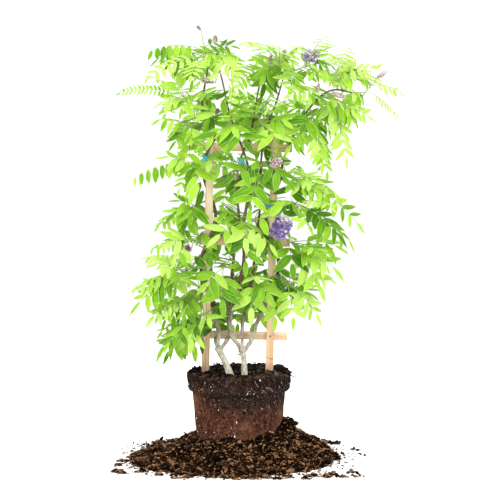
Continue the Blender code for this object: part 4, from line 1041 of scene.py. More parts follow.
def build_vines(looks):
    chance = random.Random(SEED + 2)
    for name, canes in VINES.items():
        grown, soup = Soup(), Soup()
        for i, (foot, end, points) in enumerate(canes):
            line = smooth_line([Vector(p) * MM for p in points], 0.003)
            trunk = i == 0
            knots = [chance.uniform(0.03, 0.97) for _ in range(2 if trunk else 14)]
            if trunk:
                grown.add(*pipe(line, trunk_radius(foot, end), 20, 0.10))
                continue
            radius = cane_radius(foot, end, knots)
            low = [p for p in line if p.z < SEAM_HEIGHT + 0.012]
            share = len(low) / len(line)
            grown.add(*pipe(low, lambda t: radius(t * share) * 1.04, 14, 0.10))
            start = next(k for k, p in enumerate(line) if p.z > SEAM_HEIGHT - 0.004)
            first = start / len(line)
            soup.add(*pipe(line[start:], lambda t: radius(first + t * (1 - first)), 12, 0.12))
        fork = Vector(canes[0][2][-1]) * MM
        for _ in range(3):
            way = (chance.uniform(-1, 1), chance.uniform(-1, 0.2), chance.uniform(0, 0.8))
            out = Vector(way).normalized()
            root = fork + Vector((0, 0, chance.uniform(-0.03, 0.01)))
            stub = [root, root + out * 0.006, root + out * 0.0135]
            grown.add(*pipe(stub, taper(0.0034, 0.0022), 10))
        points, faces = grown_together(grown)
        ridged = []
        for p, normal in points:
            ridges = noise.noise((p.x * 420, p.y * 420, p.z * 190)) * 0.00045
            ridged.append(p + normal * (ridges + bumpy(p, (120, 0.0008))))
        soup.add(ridged, faces)
        piece(name + "_bark", soup, [looks["bark"]], "bark", name, sharp=0)


# ---- trellis

SPLIT_Z, SPLIT_SLOPE = 272, 0.32  # where the right post is split, and how the split slopes
SPLIT_HALF, SPLIT_DEPTH = 0.0009, 0.0016
SPLIT_REACH, SPLIT_STEP = 0.009, 0.0005  # the finer steps round the split
PLANK_STEP = 0.006
RAIL_GAP = 0.0003  # between the posts and the rails behind them


def plank(axis, low, high, split=None):
    """A sawn lath between two corners, long on an axis: softened, nibbled edges, and a split
    across its front. It leans with the trellis."""
    low, high = np.array(low), np.array(high)
    wide_axis = 0 if axis == 2 else 2
    half, middle = (high - low) / 2, (high + low) / 2
    wide, thick = half[wide_axis], half[1]
    across = np.linspace(-wide, wide, 16)
    sides = np.linspace(-thick, thick, 6)[1:-1]
    section = [(x, -thick) for x in across] + [(wide, y) for y in sides]
    section += [(x, thick) for x in across[::-1]] + [(-wide, y) for y in sides[::-1]]
    stations = list(np.arange(-half[axis], half[axis], PLANK_STEP))
    if split:
        near = np.arange(-SPLIT_REACH, SPLIT_REACH, SPLIT_STEP)
        stations = sorted(stations + list(near + split - middle[axis]))
    stations.append(half[axis])
    points = []
    for i, along in enumerate(stations):
        chamfer = 0.0006 if i in (0, len(stations) - 1) else 0.0
        for x, y in section:
            corner = max(0.0, abs(x) / wide - 0.9) * 10 * max(0.0, abs(y) / thick - 0.6) * 2.5
            seed = Vector((x * 900 + low[0] * 90, y * 900, along * 130 + low[2] * 70))
            wear = 0.0009 * corner * (0.45 + 0.55 * noise.noise(seed)) + chamfer
            saw = 0.00018 * noise.noise(seed * 2.3)
            dent = 0.0
            if split and y < 0:
                ragged = SPLIT_HALF * noise.noise(Vector((x * 500, 0, 0)))
                line = split - middle[axis] - x * SPLIT_SLOPE + ragged
                dent = SPLIT_DEPTH * max(0.0, 1 - abs(along - line) / SPLIT_HALF)
            point = np.zeros(3)
            point[axis] = along
            point[wide_axis] = x - math.copysign(wear + saw, x)
            point[1] = y - math.copysign(wear * 0.7 + saw + dent, y)
            points.append(lean(*((middle + point) / MM)) * MM)
    faces = tube_faces(len(stations), len(section))
    return points, faces if axis == 2 else [face[::-1] for face in faces]


def build_trellis(looks):
    def lath(name, look, *shape):
        soup = Soup()
        soup.add(*plank(*shape))
        piece(name + "_lath", soup, [looks[look]], "pine", name, sharp=32)

    half = Vector((POST_WIDTH, POST_THICK)) * MM / 2
    low, high = POST_BOTTOM * MM, POST_TOP * MM
    for side, x, split in (("left", POST_X[0] * MM, None), ("right", POST_X[1] * MM, SPLIT_Z * MM)):
        corners = (x - half.x, -half.y, low), (x + half.x, half.y, high)
        lath("trellis_post_" + side, "pine_" + side, 2, *corners, split)
    front, rise = half.y + RAIL_GAP, RAIL_HEIGHT * MM / 2
    (left, right), back = RAIL_ENDS, front + RAIL_THICK * MM
    for i, level in enumerate(("lower", "middle", "upper")):
        z = (RAIL_Z + i * RAIL_PITCH) * MM
        corners = (left * MM, front, z - rise), (right * MM, back, z + rise)
        lath("trellis_rail_" + level, "pine_level", 0, *corners)


# ---- ties

TIE_HEIGHT, TIE_THICK, TIE_SLACK = 0.012, 0.0009, 0.0007
TIE_ROWS = 9
# Each tie: the post it holds (None for the rail only), the cane, its height, the side its knot
# is on, and the length of its hanging ends in metres.
TIES = {
    "tie_left": (POST_X[0], LEFT_OUTER, 812, -1, 0.034),
    "tie_centre": (None, LEFT_INNER, 808, 1, 0.024),
    "tie_right_upper": (POST_X[1], RIGHT_OUTER, 682, 1, 0.020),
    "tie_right_lower": (POST_X[1], RIGHT_OUTER, 443, 1, 0.020),
}


def cane_centre(cane, height):
    """Where the cane's axis crosses a height, and its radius there, in metres."""
    foot, end, points = cane
    for i, (low, high) in enumerate(zip(points, points[1:])):
        if low[2] <= height <= high[2]:
            share = (height - low[2]) / (high[2] - low[2])
            radius = foot + (end - foot) * (i + share) / (len(points) - 1)
            return Vector(low).lerp(Vector(high), share) * MM, radius * MM
    raise ValueError(f"no cane at {height} mm")


def tie_outline(post_x, cane, height):
    """The taut loop of tape round a post and a cane, seen from above."""
    outline = []
    for step in (-8, 0, 8):
        centre, radius = cane_centre(cane, height + step)
        for i in range(16):
            a = TURN * i / 16
            outline.append(centre.xy + Vector((math.cos(a), math.sin(a))) * (radius + TIE_SLACK))
        if post_x is None:
            for y in (POST_THICK / 2 * MM, (POST_THICK / 2 + RAIL_THICK + 1) * MM):
                outline += [Vector((centre.x + dx, y + TIE_SLACK)) for dx in (-0.006, 0.006)]
        else:
            middle = (lean(post_x, 0.0, height + step) * MM).xy
            wide, thick = POST_WIDTH * MM / 2 + TIE_SLACK, POST_THICK * MM / 2 + TIE_SLACK
            for sx in (-1, 1):
                outline += [middle + Vector((sx * wide, sy * thick)) for sy in (-1, 1)]
    return [outline[i] for i in convex_hull_2d(outline)]


def tie_band(hull, height, index):
    """The points and faces of a band of creased tape round an outline."""
    centre = sum(hull, Vector((0, 0))) / len(hull)
    loop = []
    for a, b in zip(hull, hull[1:] + hull[:1]):
        steps = max(1, round((b - a).length / 0.0012))
        loop += [a.lerp(b, k / steps) for k in range(steps)]
    points, faces, count, last = [], [], len(loop), TIE_ROWS - 1
    for extra in (TIE_THICK * 0.15, TIE_THICK * 0.8):
        for r in range(TIE_ROWS):
            v = r / last * 2 - 1
            for p in loop:
                out = (p - centre).normalized()
                seed = Vector((out.x * 3, out.y * 3, v * 2.6 + index * 7))
                crease = abs(noise.noise(seed)) * 0.0011 + abs(noise.noise(seed * 2.7)) * 0.0006
                frayed = noise.noise(Vector((out.x * 4, out.y * 4, index + 3 * (v > 0))))
                edge = TIE_HEIGHT / 2 * (0.86 + 0.22 * frayed)
                flat = p + out * (extra + crease)
                points.append((flat.x, flat.y, height * MM + v * edge))
    at = lambda layer, r, k: (layer * TIE_ROWS + r) * count + k % count
    quad = lambda a, b, k: (at(*a, k), at(*a, k + 1), at(*b, k + 1), at(*b, k))
    for k in range(count):
        for r in range(last):
            faces += [quad((1, r), (1, r + 1), k), quad((0, r + 1), (0, r), k)]
        faces += [quad((0, 0), (1, 0), k), quad((1, last), (0, last), k)]
    turn = sum(a.x * b.y - a.y * b.x for a, b in zip(hull, hull[1:] + hull[:1]))
    return points, faces if turn > 0 else [face[::-1] for face in faces]


def ribbon(line, half_width, thick, twist, ripple):
    """A closed strip of tape along a line, turning and rippling as it goes."""
    points, last = [], len(line) - 1
    for i, here in enumerate(line):
        t = i / last
        ahead = heading(line, i)
        side = Matrix.Rotation(twist * t, 3, ahead) @ ahead.cross(Vector((0, 1, 0.1))).normalized()
        face = side.cross(ahead)
        width = half_width * (1 - 0.25 * t)
        row = []
        for k in range(7):
            u = k / 3 - 1
            wave = ripple * noise.noise(Vector((u * 1.3, t * 5, half_width * 900)))
            row.append(here + side * (u * width) + face * wave)
        points += [p + face * thick / 2 for p in row] + [p - face * thick / 2 for p in row[::-1]]
    return points, tube_faces(len(line), 14)


def build_ties(looks):
    for index, (name, (post_x, cane, height, knot_side, tail)) in enumerate(TIES.items()):
        hull = tie_outline(post_x, cane, height)
        soup = Soup()
        soup.add(*tie_band(hull, height, index))
        front = min(hull, key=lambda p: p.y - knot_side * p.x * 0.2)
        knot = Vector((front.x, front.y - 0.0025, height * MM))
        for radius, tape, tilt in ((0.0042, 0.0021, 0.4), (0.0034, 0.0019, 1.9)):
            turn = Matrix.Rotation(tilt, 3, "Y") @ Matrix.Rotation(0.5, 3, "X")
            ring = [
                knot + turn @ Vector((radius * math.cos(a), radius * 0.55 * math.sin(a), 0.0))
                for a in np.linspace(0, TURN * 0.97, 22)
            ]
            soup.add(*pipe(ring, lambda t: tape * (1 + 0.12 * math.sin(31 * t)), 9, 0.35))
        for reach, sway, length in ((0.25, -0.45, 1.0), (-0.3, -0.3, 0.62)):
            step = Vector((reach, -0.12, sway)) * tail * length
            drop = Vector((reach * 1.5, -0.12, -1.0)) * tail * length
            line = smooth_line([knot, knot + step, knot + drop], 0.0012)
            soup.add(*ribbon(line, 0.0036, 0.0006, 1.1 * reach / abs(reach), 0.0016))
        piece(name + "_tape", soup, [looks[name]], "tie_tape", name)


# ---- pot, compost and heap

FINE, COARSE = 0.0029, 0.03  # the mesh's step on faces that show and on those that don't
STRAND_STEP, ROOT_RADII = 0.002, (0.00024, 0.0001)
POT_SIDES, POT_CRUMBS, POT_ROOTS = 280, 2400, 18
SOIL_STEP, SOIL_SIDES, SOIL_CRUMBS, SOIL_FIBRES = 0.0028, 200, 2600, 60
HEAP_SIDES, HEAP_ROWS, HEAP_FLAKES, HEAP_STRAYS = 260, 40, 13500, 3600


def pot_radius(height):
    """Outer radius of the pot's tapered body."""
    return POT_BASE_RADIUS + (POT_NECK_RADIUS - POT_BASE_RADIUS) * min(height / NECK, 1.0)


def around(values, angle):
    """Four values given at right, back, left and front, blended smoothly by angle."""
    turn = (angle / (math.pi / 2)) % 4
    i = int(turn)
    share = (1 - math.cos(math.pi * (turn - i))) / 2
    return values[i % 4] * (1 - share) + values[(i + 1) % 4] * share


def finely(profile, step):
    """A profile's points with more between them, at most a step apart."""
    found = []
    for a, b in zip(profile, profile[1:]):
        a, b = Vector(a), Vector(b)
        count = max(1, math.ceil((b - a).length / step))
        found += [a.lerp(b, k / count) for k in range(count)]
    return found + [Vector(profile[-1])]


def spun(profile, sides, shift):
    """A profile turned about the axis, ending on it at both ends; shift moves each point."""
    points, faces = [(0, 0, profile[0].y)], []
    for p in profile[1:-1]:
        for k in range(sides):
            a = TURN * k / sides
            points.append(shift(*polar(p.x, a, p.y)))
    points.append((0, 0, profile[-1].y))
    rows = len(profile) - 2
    at = lambda r, k: 1 + r * sides + k % sides
    for k in range(sides):
        faces.append((0, at(0, k), at(0, k + 1)))
        faces += [(at(r, k + 1), at(r, k), at(r + 1, k), at(r + 1, k + 1)) for r in range(rows - 1)]
        faces.append((at(rows - 1, k + 1), at(rows - 1, k), len(points) - 1))
    return points, faces


def ball_shape(kind, **settings):
    """The points and faces of a small body of radius 1."""
    ball = bmesh.new()
    getattr(bmesh.ops, kind)(ball, radius=1.0, **settings)
    points = np.array([tuple(v.co) for v in ball.verts])
    faces = [tuple(v.index for v in f.verts) for f in ball.faces]
    ball.free()
    return points, faces


LUMP = ball_shape("create_icosphere", subdivisions=1)
GRAIN = ball_shape("create_uvsphere", u_segments=4, v_segments=2)
GRAIN_SIZE = 0.0026  # crumbs smaller than this are the plainer grains


def tumbled(chance, tilt):
    spin = Matrix.Rotation(chance.uniform(0, 6.3), 3, "Z")
    return spin @ Matrix.Rotation(chance.gauss(0, tilt), 3, "X")


def chunk(soup, chance, place, size, flatness, slot=0, tone=0.5, turn=None, long=1.0):
    """An angular crumb of compost: a small rough body, flattened and turned at random."""
    base, faces = GRAIN if size < GRAIN_SIZE else LUMP
    rough = np.array([chance.uniform(0.62, 1.25) for _ in base])[:, None]
    shape = [chance.uniform(1.0, 1.6) * long, chance.uniform(0.45, 0.85), flatness]
    turn = turn or tumbled(chance, 0.8)
    base = base * rough * np.array(shape) * size @ np.array(turn.transposed()) + np.array(place)
    base[:, 2] = np.maximum(base[:, 2], 0.0002)
    soup.add(base, faces, slot, (0.0, 0.0, tone))


def pressed(x, y, z):
    """Moulded fibre: dents, matted lumps and a fine ragged nap on the pot's outer face."""
    here = Vector((x, y, z))
    if here.xy.length < pot_radius(z) - POT_WALL * 0.6 and z < NECK or z < 0.001:
        return (x, y, z)
    mat = bumpy(here, (24, 0.0011), (95, 0.0007))
    nap = noise.noise(here * 330) * 0.0006 - abs(noise.noise(here * 170)) * 0.0007
    rim = max(0.0, (z - POT_HEIGHT + 0.012) / 0.012)
    out = here.xy.normalized() * (mat + nap - 0.0004)
    return (x + out.x, y + out.y, z + rim * 0.0028 * noise.noise(Vector((x * 45, y * 45, 3))))


def build_pot(looks):
    chance = random.Random(SEED + 3)
    rim, base = (INNER, POT_HEIGHT - 0.001), (POT_BASE_RADIUS - 0.003, 0.0)
    inside = finely([
        (0.0, POT_FLOOR), (pot_radius(POT_FLOOR) - POT_WALL, POT_FLOOR),
        (POT_NECK_RADIUS - POT_WALL, NECK - 0.002), (INNER - 0.002, NECK + 0.008), rim,
    ], COARSE)
    outside = finely([
        rim, (INNER + 0.0015, POT_HEIGHT), (COLLAR_RADIUS - 0.0015, POT_HEIGHT),
        (COLLAR_RADIUS, POT_HEIGHT - 0.002), (COLLAR_RADIUS - 0.002, NECK + 0.003),
        (COLLAR_RADIUS - 0.005, NECK), (POT_NECK_RADIUS, NECK - 0.002),
        (pot_radius(0.004), 0.004), base,
    ], FINE)
    soup = Soup()
    under = finely([base, (0.0, 0.0)], COARSE)
    soup.add(*spun(inside[:-1] + outside[:-1] + under, POT_SIDES, pressed))
    for i in range(POT_CRUMBS):
        a = chance.uniform(0, TURN)
        crust = i % 2 == 0  # half of the crumbs are caked round the rim
        if crust:
            z = POT_HEIGHT + 0.001 - abs(chance.gauss(0, 0.011))
        else:
            z = chance.uniform(0.03, POT_HEIGHT)
        radius = pot_radius(z) if z < NECK else COLLAR_RADIUS
        turn = Matrix.Rotation(a, 3, "Z") @ Matrix.Rotation(math.pi / 2, 3, "Y")
        speck = chance.random() < (0.05 if crust else 0.24)
        size = 0.0006 + min(chance.expovariate(1 / 0.0006), 0.0022)
        if crust and not speck:
            size = chance.uniform(0.0016, 0.0042)
        here = pressed(*polar(radius, a, min(z, POT_HEIGHT - 0.001)))
        tone = chance.random() * (0.6 if crust else 1)
        chunk(soup, chance, here, size, 0.45, 1 if speck else 2, tone, turn)
    for _ in range(POT_ROOTS):
        a = chance.uniform(-math.pi, math.pi) if chance.random() < 0.4 else chance.gauss(-0.9, 0.35)
        z = chance.uniform(0.15, POT_HEIGHT - 0.004)
        line, rise = [], chance.uniform(-1, 1)
        for _ in range(5):
            a += chance.uniform(0.01, 0.03)
            z = min(max(z + rise * 0.003 + chance.uniform(-0.002, 0.002), 0.03), POT_HEIGHT)
            radius = (pot_radius(z) if z < NECK - 0.001 else COLLAR_RADIUS) + 0.0003
            line.append(pressed(*polar(radius, a, z)))
        strand(soup, line, STRAND_STEP, ROOT_RADII, 5, slot=1)
    used = [looks["fibre"], looks["perlite"], looks["crumb"]]
    piece("pot_fibre", soup, used, "fibre_pot", "pot", sharp=0)


def soil_height(x, y):
    """Height of the compost's lumpy top inside the pot, hollow in front of the trunks."""
    share = min(math.hypot(x, y) / INNER, 1.0)
    lumps = bumpy(Vector((x, y, 0)), (26, 0.009), (75, 0.005), (190, 0.0025))
    hollow = 0.013 * math.exp(-((x + 0.003) ** 2 / 0.0024 + (y + 0.062) ** 2 / 0.0014))
    crown = SOIL_CROWN * (1 - share ** 2) * 0.75
    return POT_HEIGHT + crown + lumps * (1 - 0.45 * share) - hollow - 0.002


# Clods on the compost in the pot: place and number of crumbs.
SOIL_CLODS = [
    (-118, 22, 20), (-102, 40, 14), (-66, 92, 22), (-40, 104, 16), (-12, 112, 20), (56, 104, 16),
    (96, 66, 14), (124, 20, 20), (118, -26, 12), (-124, -18, 12), (36, 112, 10), (-90, 66, 14),
]
# A twig that lies across the pot's rim.
TWIG = [(112, -38, 231), (131, -42, 233), (142, -46, 229), (154, -50, 224)]
TWIG_RADII, FORK_RADII, FIBRE_RADII = (0.0019, 0.0010), (0.0010, 0.0005), (0.0004, 0.00015)


def build_soil(looks):
    chance = random.Random(SEED + 4)
    rim = (INNER - 0.0019, POT_HEIGHT)
    profile = finely([(0.0, POT_HEIGHT), rim], SOIL_STEP)[:-1] + finely([
        rim, (INNER - 0.0028, NECK + 0.0085), (POT_NECK_RADIUS - POT_WALL - 0.0006, NECK - 0.0025),
        (pot_radius(POT_FLOOR) - POT_WALL - 0.0006, POT_FLOOR + 0.0003), (0.0, POT_FLOOR + 0.0003),
    ], COARSE)
    profile[0].y = soil_height(0.0, 0.0)
    lumpy = lambda x, y, z: (x, y, soil_height(x, y) if z > POT_HEIGHT - 0.0001 else z)
    soup = Soup()
    soup.add(*spun(profile, SOIL_SIDES, lumpy))
    for i in range(SOIL_CRUMBS):
        a, share = chance.uniform(0, TURN), math.sqrt(chance.random())
        at_rim = chance.random() < 0.42
        radius = chance.uniform(0.118, 0.1385) if at_rim else share * 0.132
        x, y, _ = polar(radius, a)
        size = chance.choice([0.0018, 0.0026, 0.0036, 0.005]) * chance.uniform(0.8, 1.3)
        size *= 1.8 if i % 22 == 0 else 1
        heaped = chance.uniform(0, 0.012) if y > 0.02 and at_rim else 0.0
        z = max(soil_height(x, y), POT_HEIGHT - 0.001) + size * 0.25
        z += heaped * max(0, noise.noise(Vector((x, y, 0)) * 22)) * 2
        white = chance.random() < 0.018
        size = min(size, 0.0016) if white else size
        chunk(soup, chance, (x, y, z), size, 0.7, 1 if white else 0, chance.random())
    for x, y, count in SOIL_CLODS:
        for _ in range(count):
            here = Vector((x, y, 0)) * MM
            here += Vector((chance.gauss(0, 0.006), chance.gauss(0, 0.005), 0))
            here.z = POT_HEIGHT + 0.002 + abs(chance.gauss(0, 0.0055))
            size = chance.uniform(0.0028, 0.0062)
            chunk(soup, chance, here, size, 0.75, 0, chance.uniform(0, 0.5))
    for _ in range(SOIL_FIBRES):  # they stand up
        a = chance.uniform(0, TURN)
        radius = chance.uniform(0.09, 0.132)
        start = Vector(polar(radius, a))
        start.z = soil_height(start.x, start.y) + 0.001
        way = Vector([chance.uniform(-1, 1), chance.uniform(-1, 1), chance.uniform(0.1, 1.0)])
        way.normalize()
        end = start + way * 0.012 + Vector((0, 0, chance.uniform(-0.004, 0.003)))
        line, slot = [start, start + way * 0.006, end], chance.choice([0, 0, 0, 1])
        strand(soup, line, STRAND_STEP, FIBRE_RADII, 5, slot=slot)
    twig = strand(soup, [Vector(p) * MM for p in TWIG], STRAND_STEP, TWIG_RADII, 7, 0.3)
    fork = [twig[len(twig) // 2], twig[-1] + Vector((0.001, 0.0, 0.012))]
    strand(soup, fork, STRAND_STEP, FORK_RADII, 6, 0.3)
    used = [looks["soil"], looks["perlite"]]
    piece("potting_soil_crumb", soup, used, "compost", "potting_soil", sharp=25)


def heap_place(angle, out):
    """A point on the heap's slope: out runs from the pot's wall, 0, to its ragged edge, 1."""
    ray = Vector(polar(1, angle))
    crest = around(HEAP_HEIGHT, angle) * (1 + 0.12 * noise.noise(ray * 2.3))
    edge = around(HEAP_RADIUS, angle) * (1 + 0.055 * noise.noise(ray * 4.1 + Vector((5, 0, 0))))
    edge *= around(HEAP_DENSE, angle) + 0.05 * noise.noise(ray * 7) + 0.035 * noise.noise(ray * 23)
    height = crest * (1 - out) ** around(HEAP_FALL, angle) + HEAP_EDGE * 0.6 * (1 - out)
    inner = pot_radius(height) - 0.002
    place = ray * (inner + (edge - inner) * out)
    bumps = bumpy(place, (26, 0.010), (80, 0.0065), (200, 0.003))
    place.z = max(height + bumps * min(1.0, (1 - out) * 4 + 0.15), 0.0004)
    return place


def heap_body(sides, rows):
    """The points and faces of the heap's own solid ring, under its flakes."""
    points = [heap_place(TURN * k / sides, r / rows) for r in range(rows + 1) for k in range(sides)]
    for ring in (points[-sides:], points[:sides]):
        points = points + [Vector((p.x, p.y, 0.0)) for p in ring]
    at = lambda r, k: r * sides + k % sides
    outer, inner = rows + 1, rows + 2  # the rings on the ground
    faces = []
    for k in range(sides):
        faces += [(at(r, k), at(r + 1, k), at(r + 1, k + 1), at(r, k + 1)) for r in range(rows)]
        faces.append((at(rows, k), at(outer, k), at(outer, k + 1), at(rows, k + 1)))
        faces.append((at(0, k + 1), at(inner, k + 1), at(inner, k), at(0, k)))
        faces.append((at(outer, k + 1), at(outer, k), at(inner, k), at(inner, k + 1)))
    return points, faces


def build_heap(looks, room):
    chance = random.Random(SEED + 5)
    heap, crumbs = Soup(), Soup()
    heap.add(*heap_body(HEAP_SIDES, HEAP_ROWS))
    for i in range(HEAP_FLAKES):
        a, out = chance.uniform(0, TURN), chance.random() ** 0.7
        size = chance.choice([0.0013, 0.0018, 0.0024, 0.0036]) * chance.uniform(0.75, 1.3)
        size *= 2 if i % 50 == 0 else 1
        here = heap_place(a, out)
        here.z = max(here.z + size * chance.uniform(0.0, 0.5), size * 0.5)
        turn = tumbled(chance, 1.1) @ Matrix.Rotation(chance.gauss(0, 0.5), 3, "Y")
        flat, tone = chance.uniform(0.22, 0.6), chance.random() ** 1.5
        chunk(heap, chance, here, size, flat, 0, tone, turn, 1.5)
    for spread, centre, size in (  # the clod on the heap's peak
        (0.008, (0.136, -0.020, 0.101), 0.0065), (0.004, (0.152, -0.030, 0.098), 0.004),
    ):
        for _ in range(34):
            here = Vector(centre) + Vector([chance.gauss(0, spread * s) for s in (1.0, 1.0, 0.7)])
            own = chance.uniform(0.5, 1.1) * size
            chunk(heap, chance, here, own, 0.7, 0, chance.uniform(0.0, 0.5))
    piece("spilled_soil_heap", heap, [looks["compost"]], "loose_compost", "spilled_soil", sharp=25)
    (left, front, _), (right, back, _) = room

    def drop(x, y, size, lift=0.0):
        """Lets a crumb lie on the ground, if the CAD model's box has room for it."""
        if left + size * 2 < x < right - size * 2 and front + size * 2 < y < back - size * 2:
            here = Vector((x, y, size * 0.35 + lift))
            chunk(crumbs, chance, here, size, chance.uniform(0.35, 0.8), 0, chance.random() ** 1.4)

    for _ in range(HEAP_STRAYS):
        here = heap_place(chance.uniform(0, TURN), 1.0) * (0.97 + abs(chance.gauss(0.0, 0.13)))
        drop(here.x, here.y, min(chance.expovariate(1 / 0.0009) + 0.0005, 0.0055))
    for x, y, count in HEAP_CLUMPS:
        for _ in range(count):
            size = chance.choice([0.002, 0.003, 0.0045, 0.006])
            along, across = chance.gauss(0, 0.008), chance.gauss(0, 0.005)
            pile = max(0.0, 0.009 - abs(along) * 0.6 - abs(across)) * chance.random()
            drop(x * MM + along, y * MM + across, size, pile)
    piece("spilled_soil_crumbs", crumbs, [looks["compost"]], "loose_compost", sharp=25)


# ---- flower heads

GOLDEN = math.pi * (3 - math.sqrt(5))
# Small heads among the leaves, close to the canes that bear them.
SMALL_HEADS = {
    "raceme_cane_head": ((252, -14, 991), (246, -28, 984), (284, -40, 972), 11.5, "closed"),
    "raceme_peak_head": ((84, 1, 1050), (84, -14, 1058), (86, -24, 1088), 8.5, "closed"),
    "raceme_shade_head": ((196, -11, 950), (206, -34, 984), (212, -44, 1008), 9.5, "closed"),
    "bud_mid_head": ((4, -9, 802), (-2, -40, 772), (-8, -52, 752), 7.0, "closed"),
    "bud_rail_head": ((-14, -12, 540), (-10, -44, 560), (2, -56, 578), 9.0, "bud"),
    "bud_peak_head": ((-60, 2, 1102), (-64, -6, 1116), (-66, -10, 1134), 7.5, "closed"),
}
STALK_RADII = (0.0013, 0.0007)
FADED = {"raceme_crown_head": 0.22, "raceme_open_head": 0.06}  # how much paler a head's petals are


def petal(soup, foot, ahead, face, length, half, tone, waist, droop, fold, ripple=0.1):
    points = blade_points(length, half, waist, droop, fold, ripple, 0.0004, 0.3)
    add_blade(soup, points, foot, ahead, face, tone)


def floret(soup, foot, out, axis, size, tone):
    """A pea flower: calyx, a broad banner bent back, and two wings over the keel."""
    neck = foot + out * size * 0.35
    soup.add(*pipe([foot, foot + out * size * 0.2, neck], lambda t: size * (0.03 + 0.1 * t), 7), 1)
    up = (axis - out * axis.dot(out)).normalized()
    side = out.cross(up)
    banner, back = out * 0.55 + up * 0.9, out * 0.7 - up * 0.5
    petal(soup, neck, banner, back, size * 0.95, size * 0.45, tone + 0.12, 0.62, -0.6, 0.15)
    for sign in (-1, 1):
        wing, face = out + side * sign * 0.30 - up * 0.1, side * sign * -1 + up * 0.4
        petal(soup, neck, wing, face, size * 0.85, size * 0.24, tone - 0.12, 0.62, 0.5, 0.2)
    petal(soup, neck, out - up * 0.25, up, size * 0.75, size * 0.18, tone + 0.25, 0.6, -0.4, 0.5)


def closed_bud(soup, chance, foot, out, size, tone):
    tip = foot + (out + Vector((0, 0, chance.uniform(-0.3, 0.15)))).normalized() * size
    line = [foot.lerp(tip, t) for t in (0, 0.12, 0.35, 0.65, 0.88, 1.0)]
    widths = (0.03, 0.13, 0.24, 0.25, 0.12, 0.03)
    soup.add(*pipe(line, lambda t: size * widths[round(t * 5)], 7), 0, (0.3, 0.5, tone))


# Each kind of head: how many flowers, how far up the head they reach, and how steeply the lowest
# ones rise and how much steeper the highest.
HEAD_KINDS = {
    "open": (52, 0.86, 0.1, 0.36), "closed": (90, 0.86, 0.5, 1.0), "bud": (46, 0.74, 1.3, 1.0),
}


def build_head(name, row, looks, chance, *nodes):
    """One flower head on its stalk: open florets below closed buds, or a cone of bracts."""
    start, foot, tip, radius, kind = row
    start, foot, tip, radius = Vector(start) * MM, Vector(foot) * MM, Vector(tip) * MM, radius * MM
    axis, length = (tip - foot).normalized(), (tip - foot).length
    side = axis.orthogonal().normalized()
    other = axis.cross(side)
    soup = Soup()
    bend = start.lerp(foot, 0.6) + Vector((0, 0, -0.004))
    strand(soup, [start, bend, foot, foot.lerp(tip, 0.9)], 0.003, STALK_RADII, 8, 0.1, slot=1)
    count, spread, lowest, rising = HEAD_KINDS[kind]
    for i in range(count):
        t = (i + 0.5) / count
        swell = math.sin(math.pi * min(0.12 + t * 0.80, 1.0)) ** 0.6
        out = side * math.cos(i * GOLDEN) + other * math.sin(i * GOLDEN)
        here = foot + axis * length * (0.04 + spread * t)
        ahead = (out + axis * (lowest + rising * t)).normalized()
        if kind == "open" and t < 0.78:
            size = min(max(radius * swell * chance.uniform(0.62, 0.85), 0.006), 0.018)
            tone = chance.choice([0.05, 0.15, 0.3, 0.45, 0.6]) + chance.uniform(-0.05, 0.1)
            tone += FADED.get(name, 0.0)
            floret(soup, here + ahead * radius * 0.2, ahead, axis, size, tone)
        elif kind == "bud":
            size, tone = radius * 1.5 * swell, chance.uniform(0.4, 0.95)
            petal(soup, here, ahead, out, size, radius * 0.33, tone, 0.4, -0.7, 0.3, 0.0)
        else:
            size = radius * swell * (0.92 if kind == "closed" else 0.6) * chance.uniform(0.8, 1.05)
            closed_bud(soup, chance, here, ahead, size, chance.uniform(0.3, 1.0))
    petals = looks["petal" if kind == "open" else "bud"]
    piece(name, soup, [petals, looks["flower_stalk"]], "petals", *nodes)


def build_racemes(looks):
    chance = random.Random(SEED + 6)
    for name, row in FLOWERS.items():
        build_head(name + "_head", row, looks, chance, name)
    for name, row in SMALL_HEADS.items():
        build_head(name, row, looks, chance)


# ---- studio

CAMERA_PLACE, CAMERA_PITCH, CAMERA_LENS = (0.030, -4.0, 0.80), 3.38, 107.0
FLOOR_REACH = 30.0
WORLD_LIGHT = 1.15
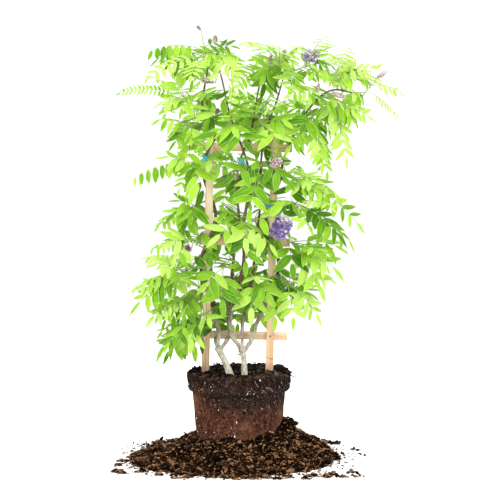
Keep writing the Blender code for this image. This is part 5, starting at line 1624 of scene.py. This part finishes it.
# Each lamp: its place, width and power. They face LIT.
LIGHTS = {
    "key": ((-1.6, -2.6, 2.9), 1.6, 100.0),
    "fill": ((2.4, -2.2, 1.6), 2.0, 45.0),
    "back": ((0.3, 2.4, 2.8), 1.8, 60.0),
}
LIT = Vector((0.03, 0.0, 0.6))


def floor_look():
    look = Look("pale_floor", 0.9, 0.1)
    look.tint(look.ramp(look.noise(3, 3), (0.3, (0.90, 0.90, 0.895)), (0.7, (0.93, 0.93, 0.925))))
    return look.made


def build_studio():
    """A wide pale floor, soft light all round, and the camera."""
    mesh = bpy.data.meshes.new("floor")
    reach = FLOOR_REACH
    corners = [(-reach, -reach, 0), (reach, -reach, 0), (reach, reach, 0), (-reach, reach, 0)]
    mesh.from_pydata(corners, [], [(0, 1, 2, 3)])
    mesh.materials.append(floor_look())
    linked("floor", mesh)

    world = bpy.data.worlds.new("studio")
    world.use_nodes = True
    sky = world.node_tree.nodes["Background"].inputs
    sky["Color"].default_value = (1.0, 1.0, 1.0, 1.0)
    sky["Strength"].default_value = WORLD_LIGHT
    bpy.context.scene.world = world
    for name, (place, size, power) in LIGHTS.items():
        lamp = bpy.data.lights.new(name, "AREA")
        lamp.shape, lamp.size, lamp.energy = "DISK", size, power
        light = linked(name, lamp)
        light.location = place
        light.rotation_euler = (LIT - Vector(place)).to_track_quat("-Z", "Y").to_euler()

    lens = bpy.data.cameras.new("camera")
    lens.lens, lens.sensor_width = CAMERA_LENS, 36.0
    camera = linked("camera", lens)
    camera.location = CAMERA_PLACE
    camera.rotation_euler = (math.radians(90 - CAMERA_PITCH), 0.0, 0.0)
    bpy.context.scene.camera = camera
    bpy.context.scene.view_settings.view_transform = "Standard"


def main():
    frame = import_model()
    cad_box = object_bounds()
    looks = make_looks()
    build_pot(looks)
    build_soil(looks)
    build_heap(looks, cad_box)
    build_trellis(looks)
    build_ties(looks)
    build_vines(looks)
    build_shoots(looks)
    build_racemes(looks)
    for name, node in frame["nodes"].items():
        if name.startswith("nail_"):
            node.data.materials.clear()
            node.data.materials.append(looks["nail"])
    build_studio()


main()
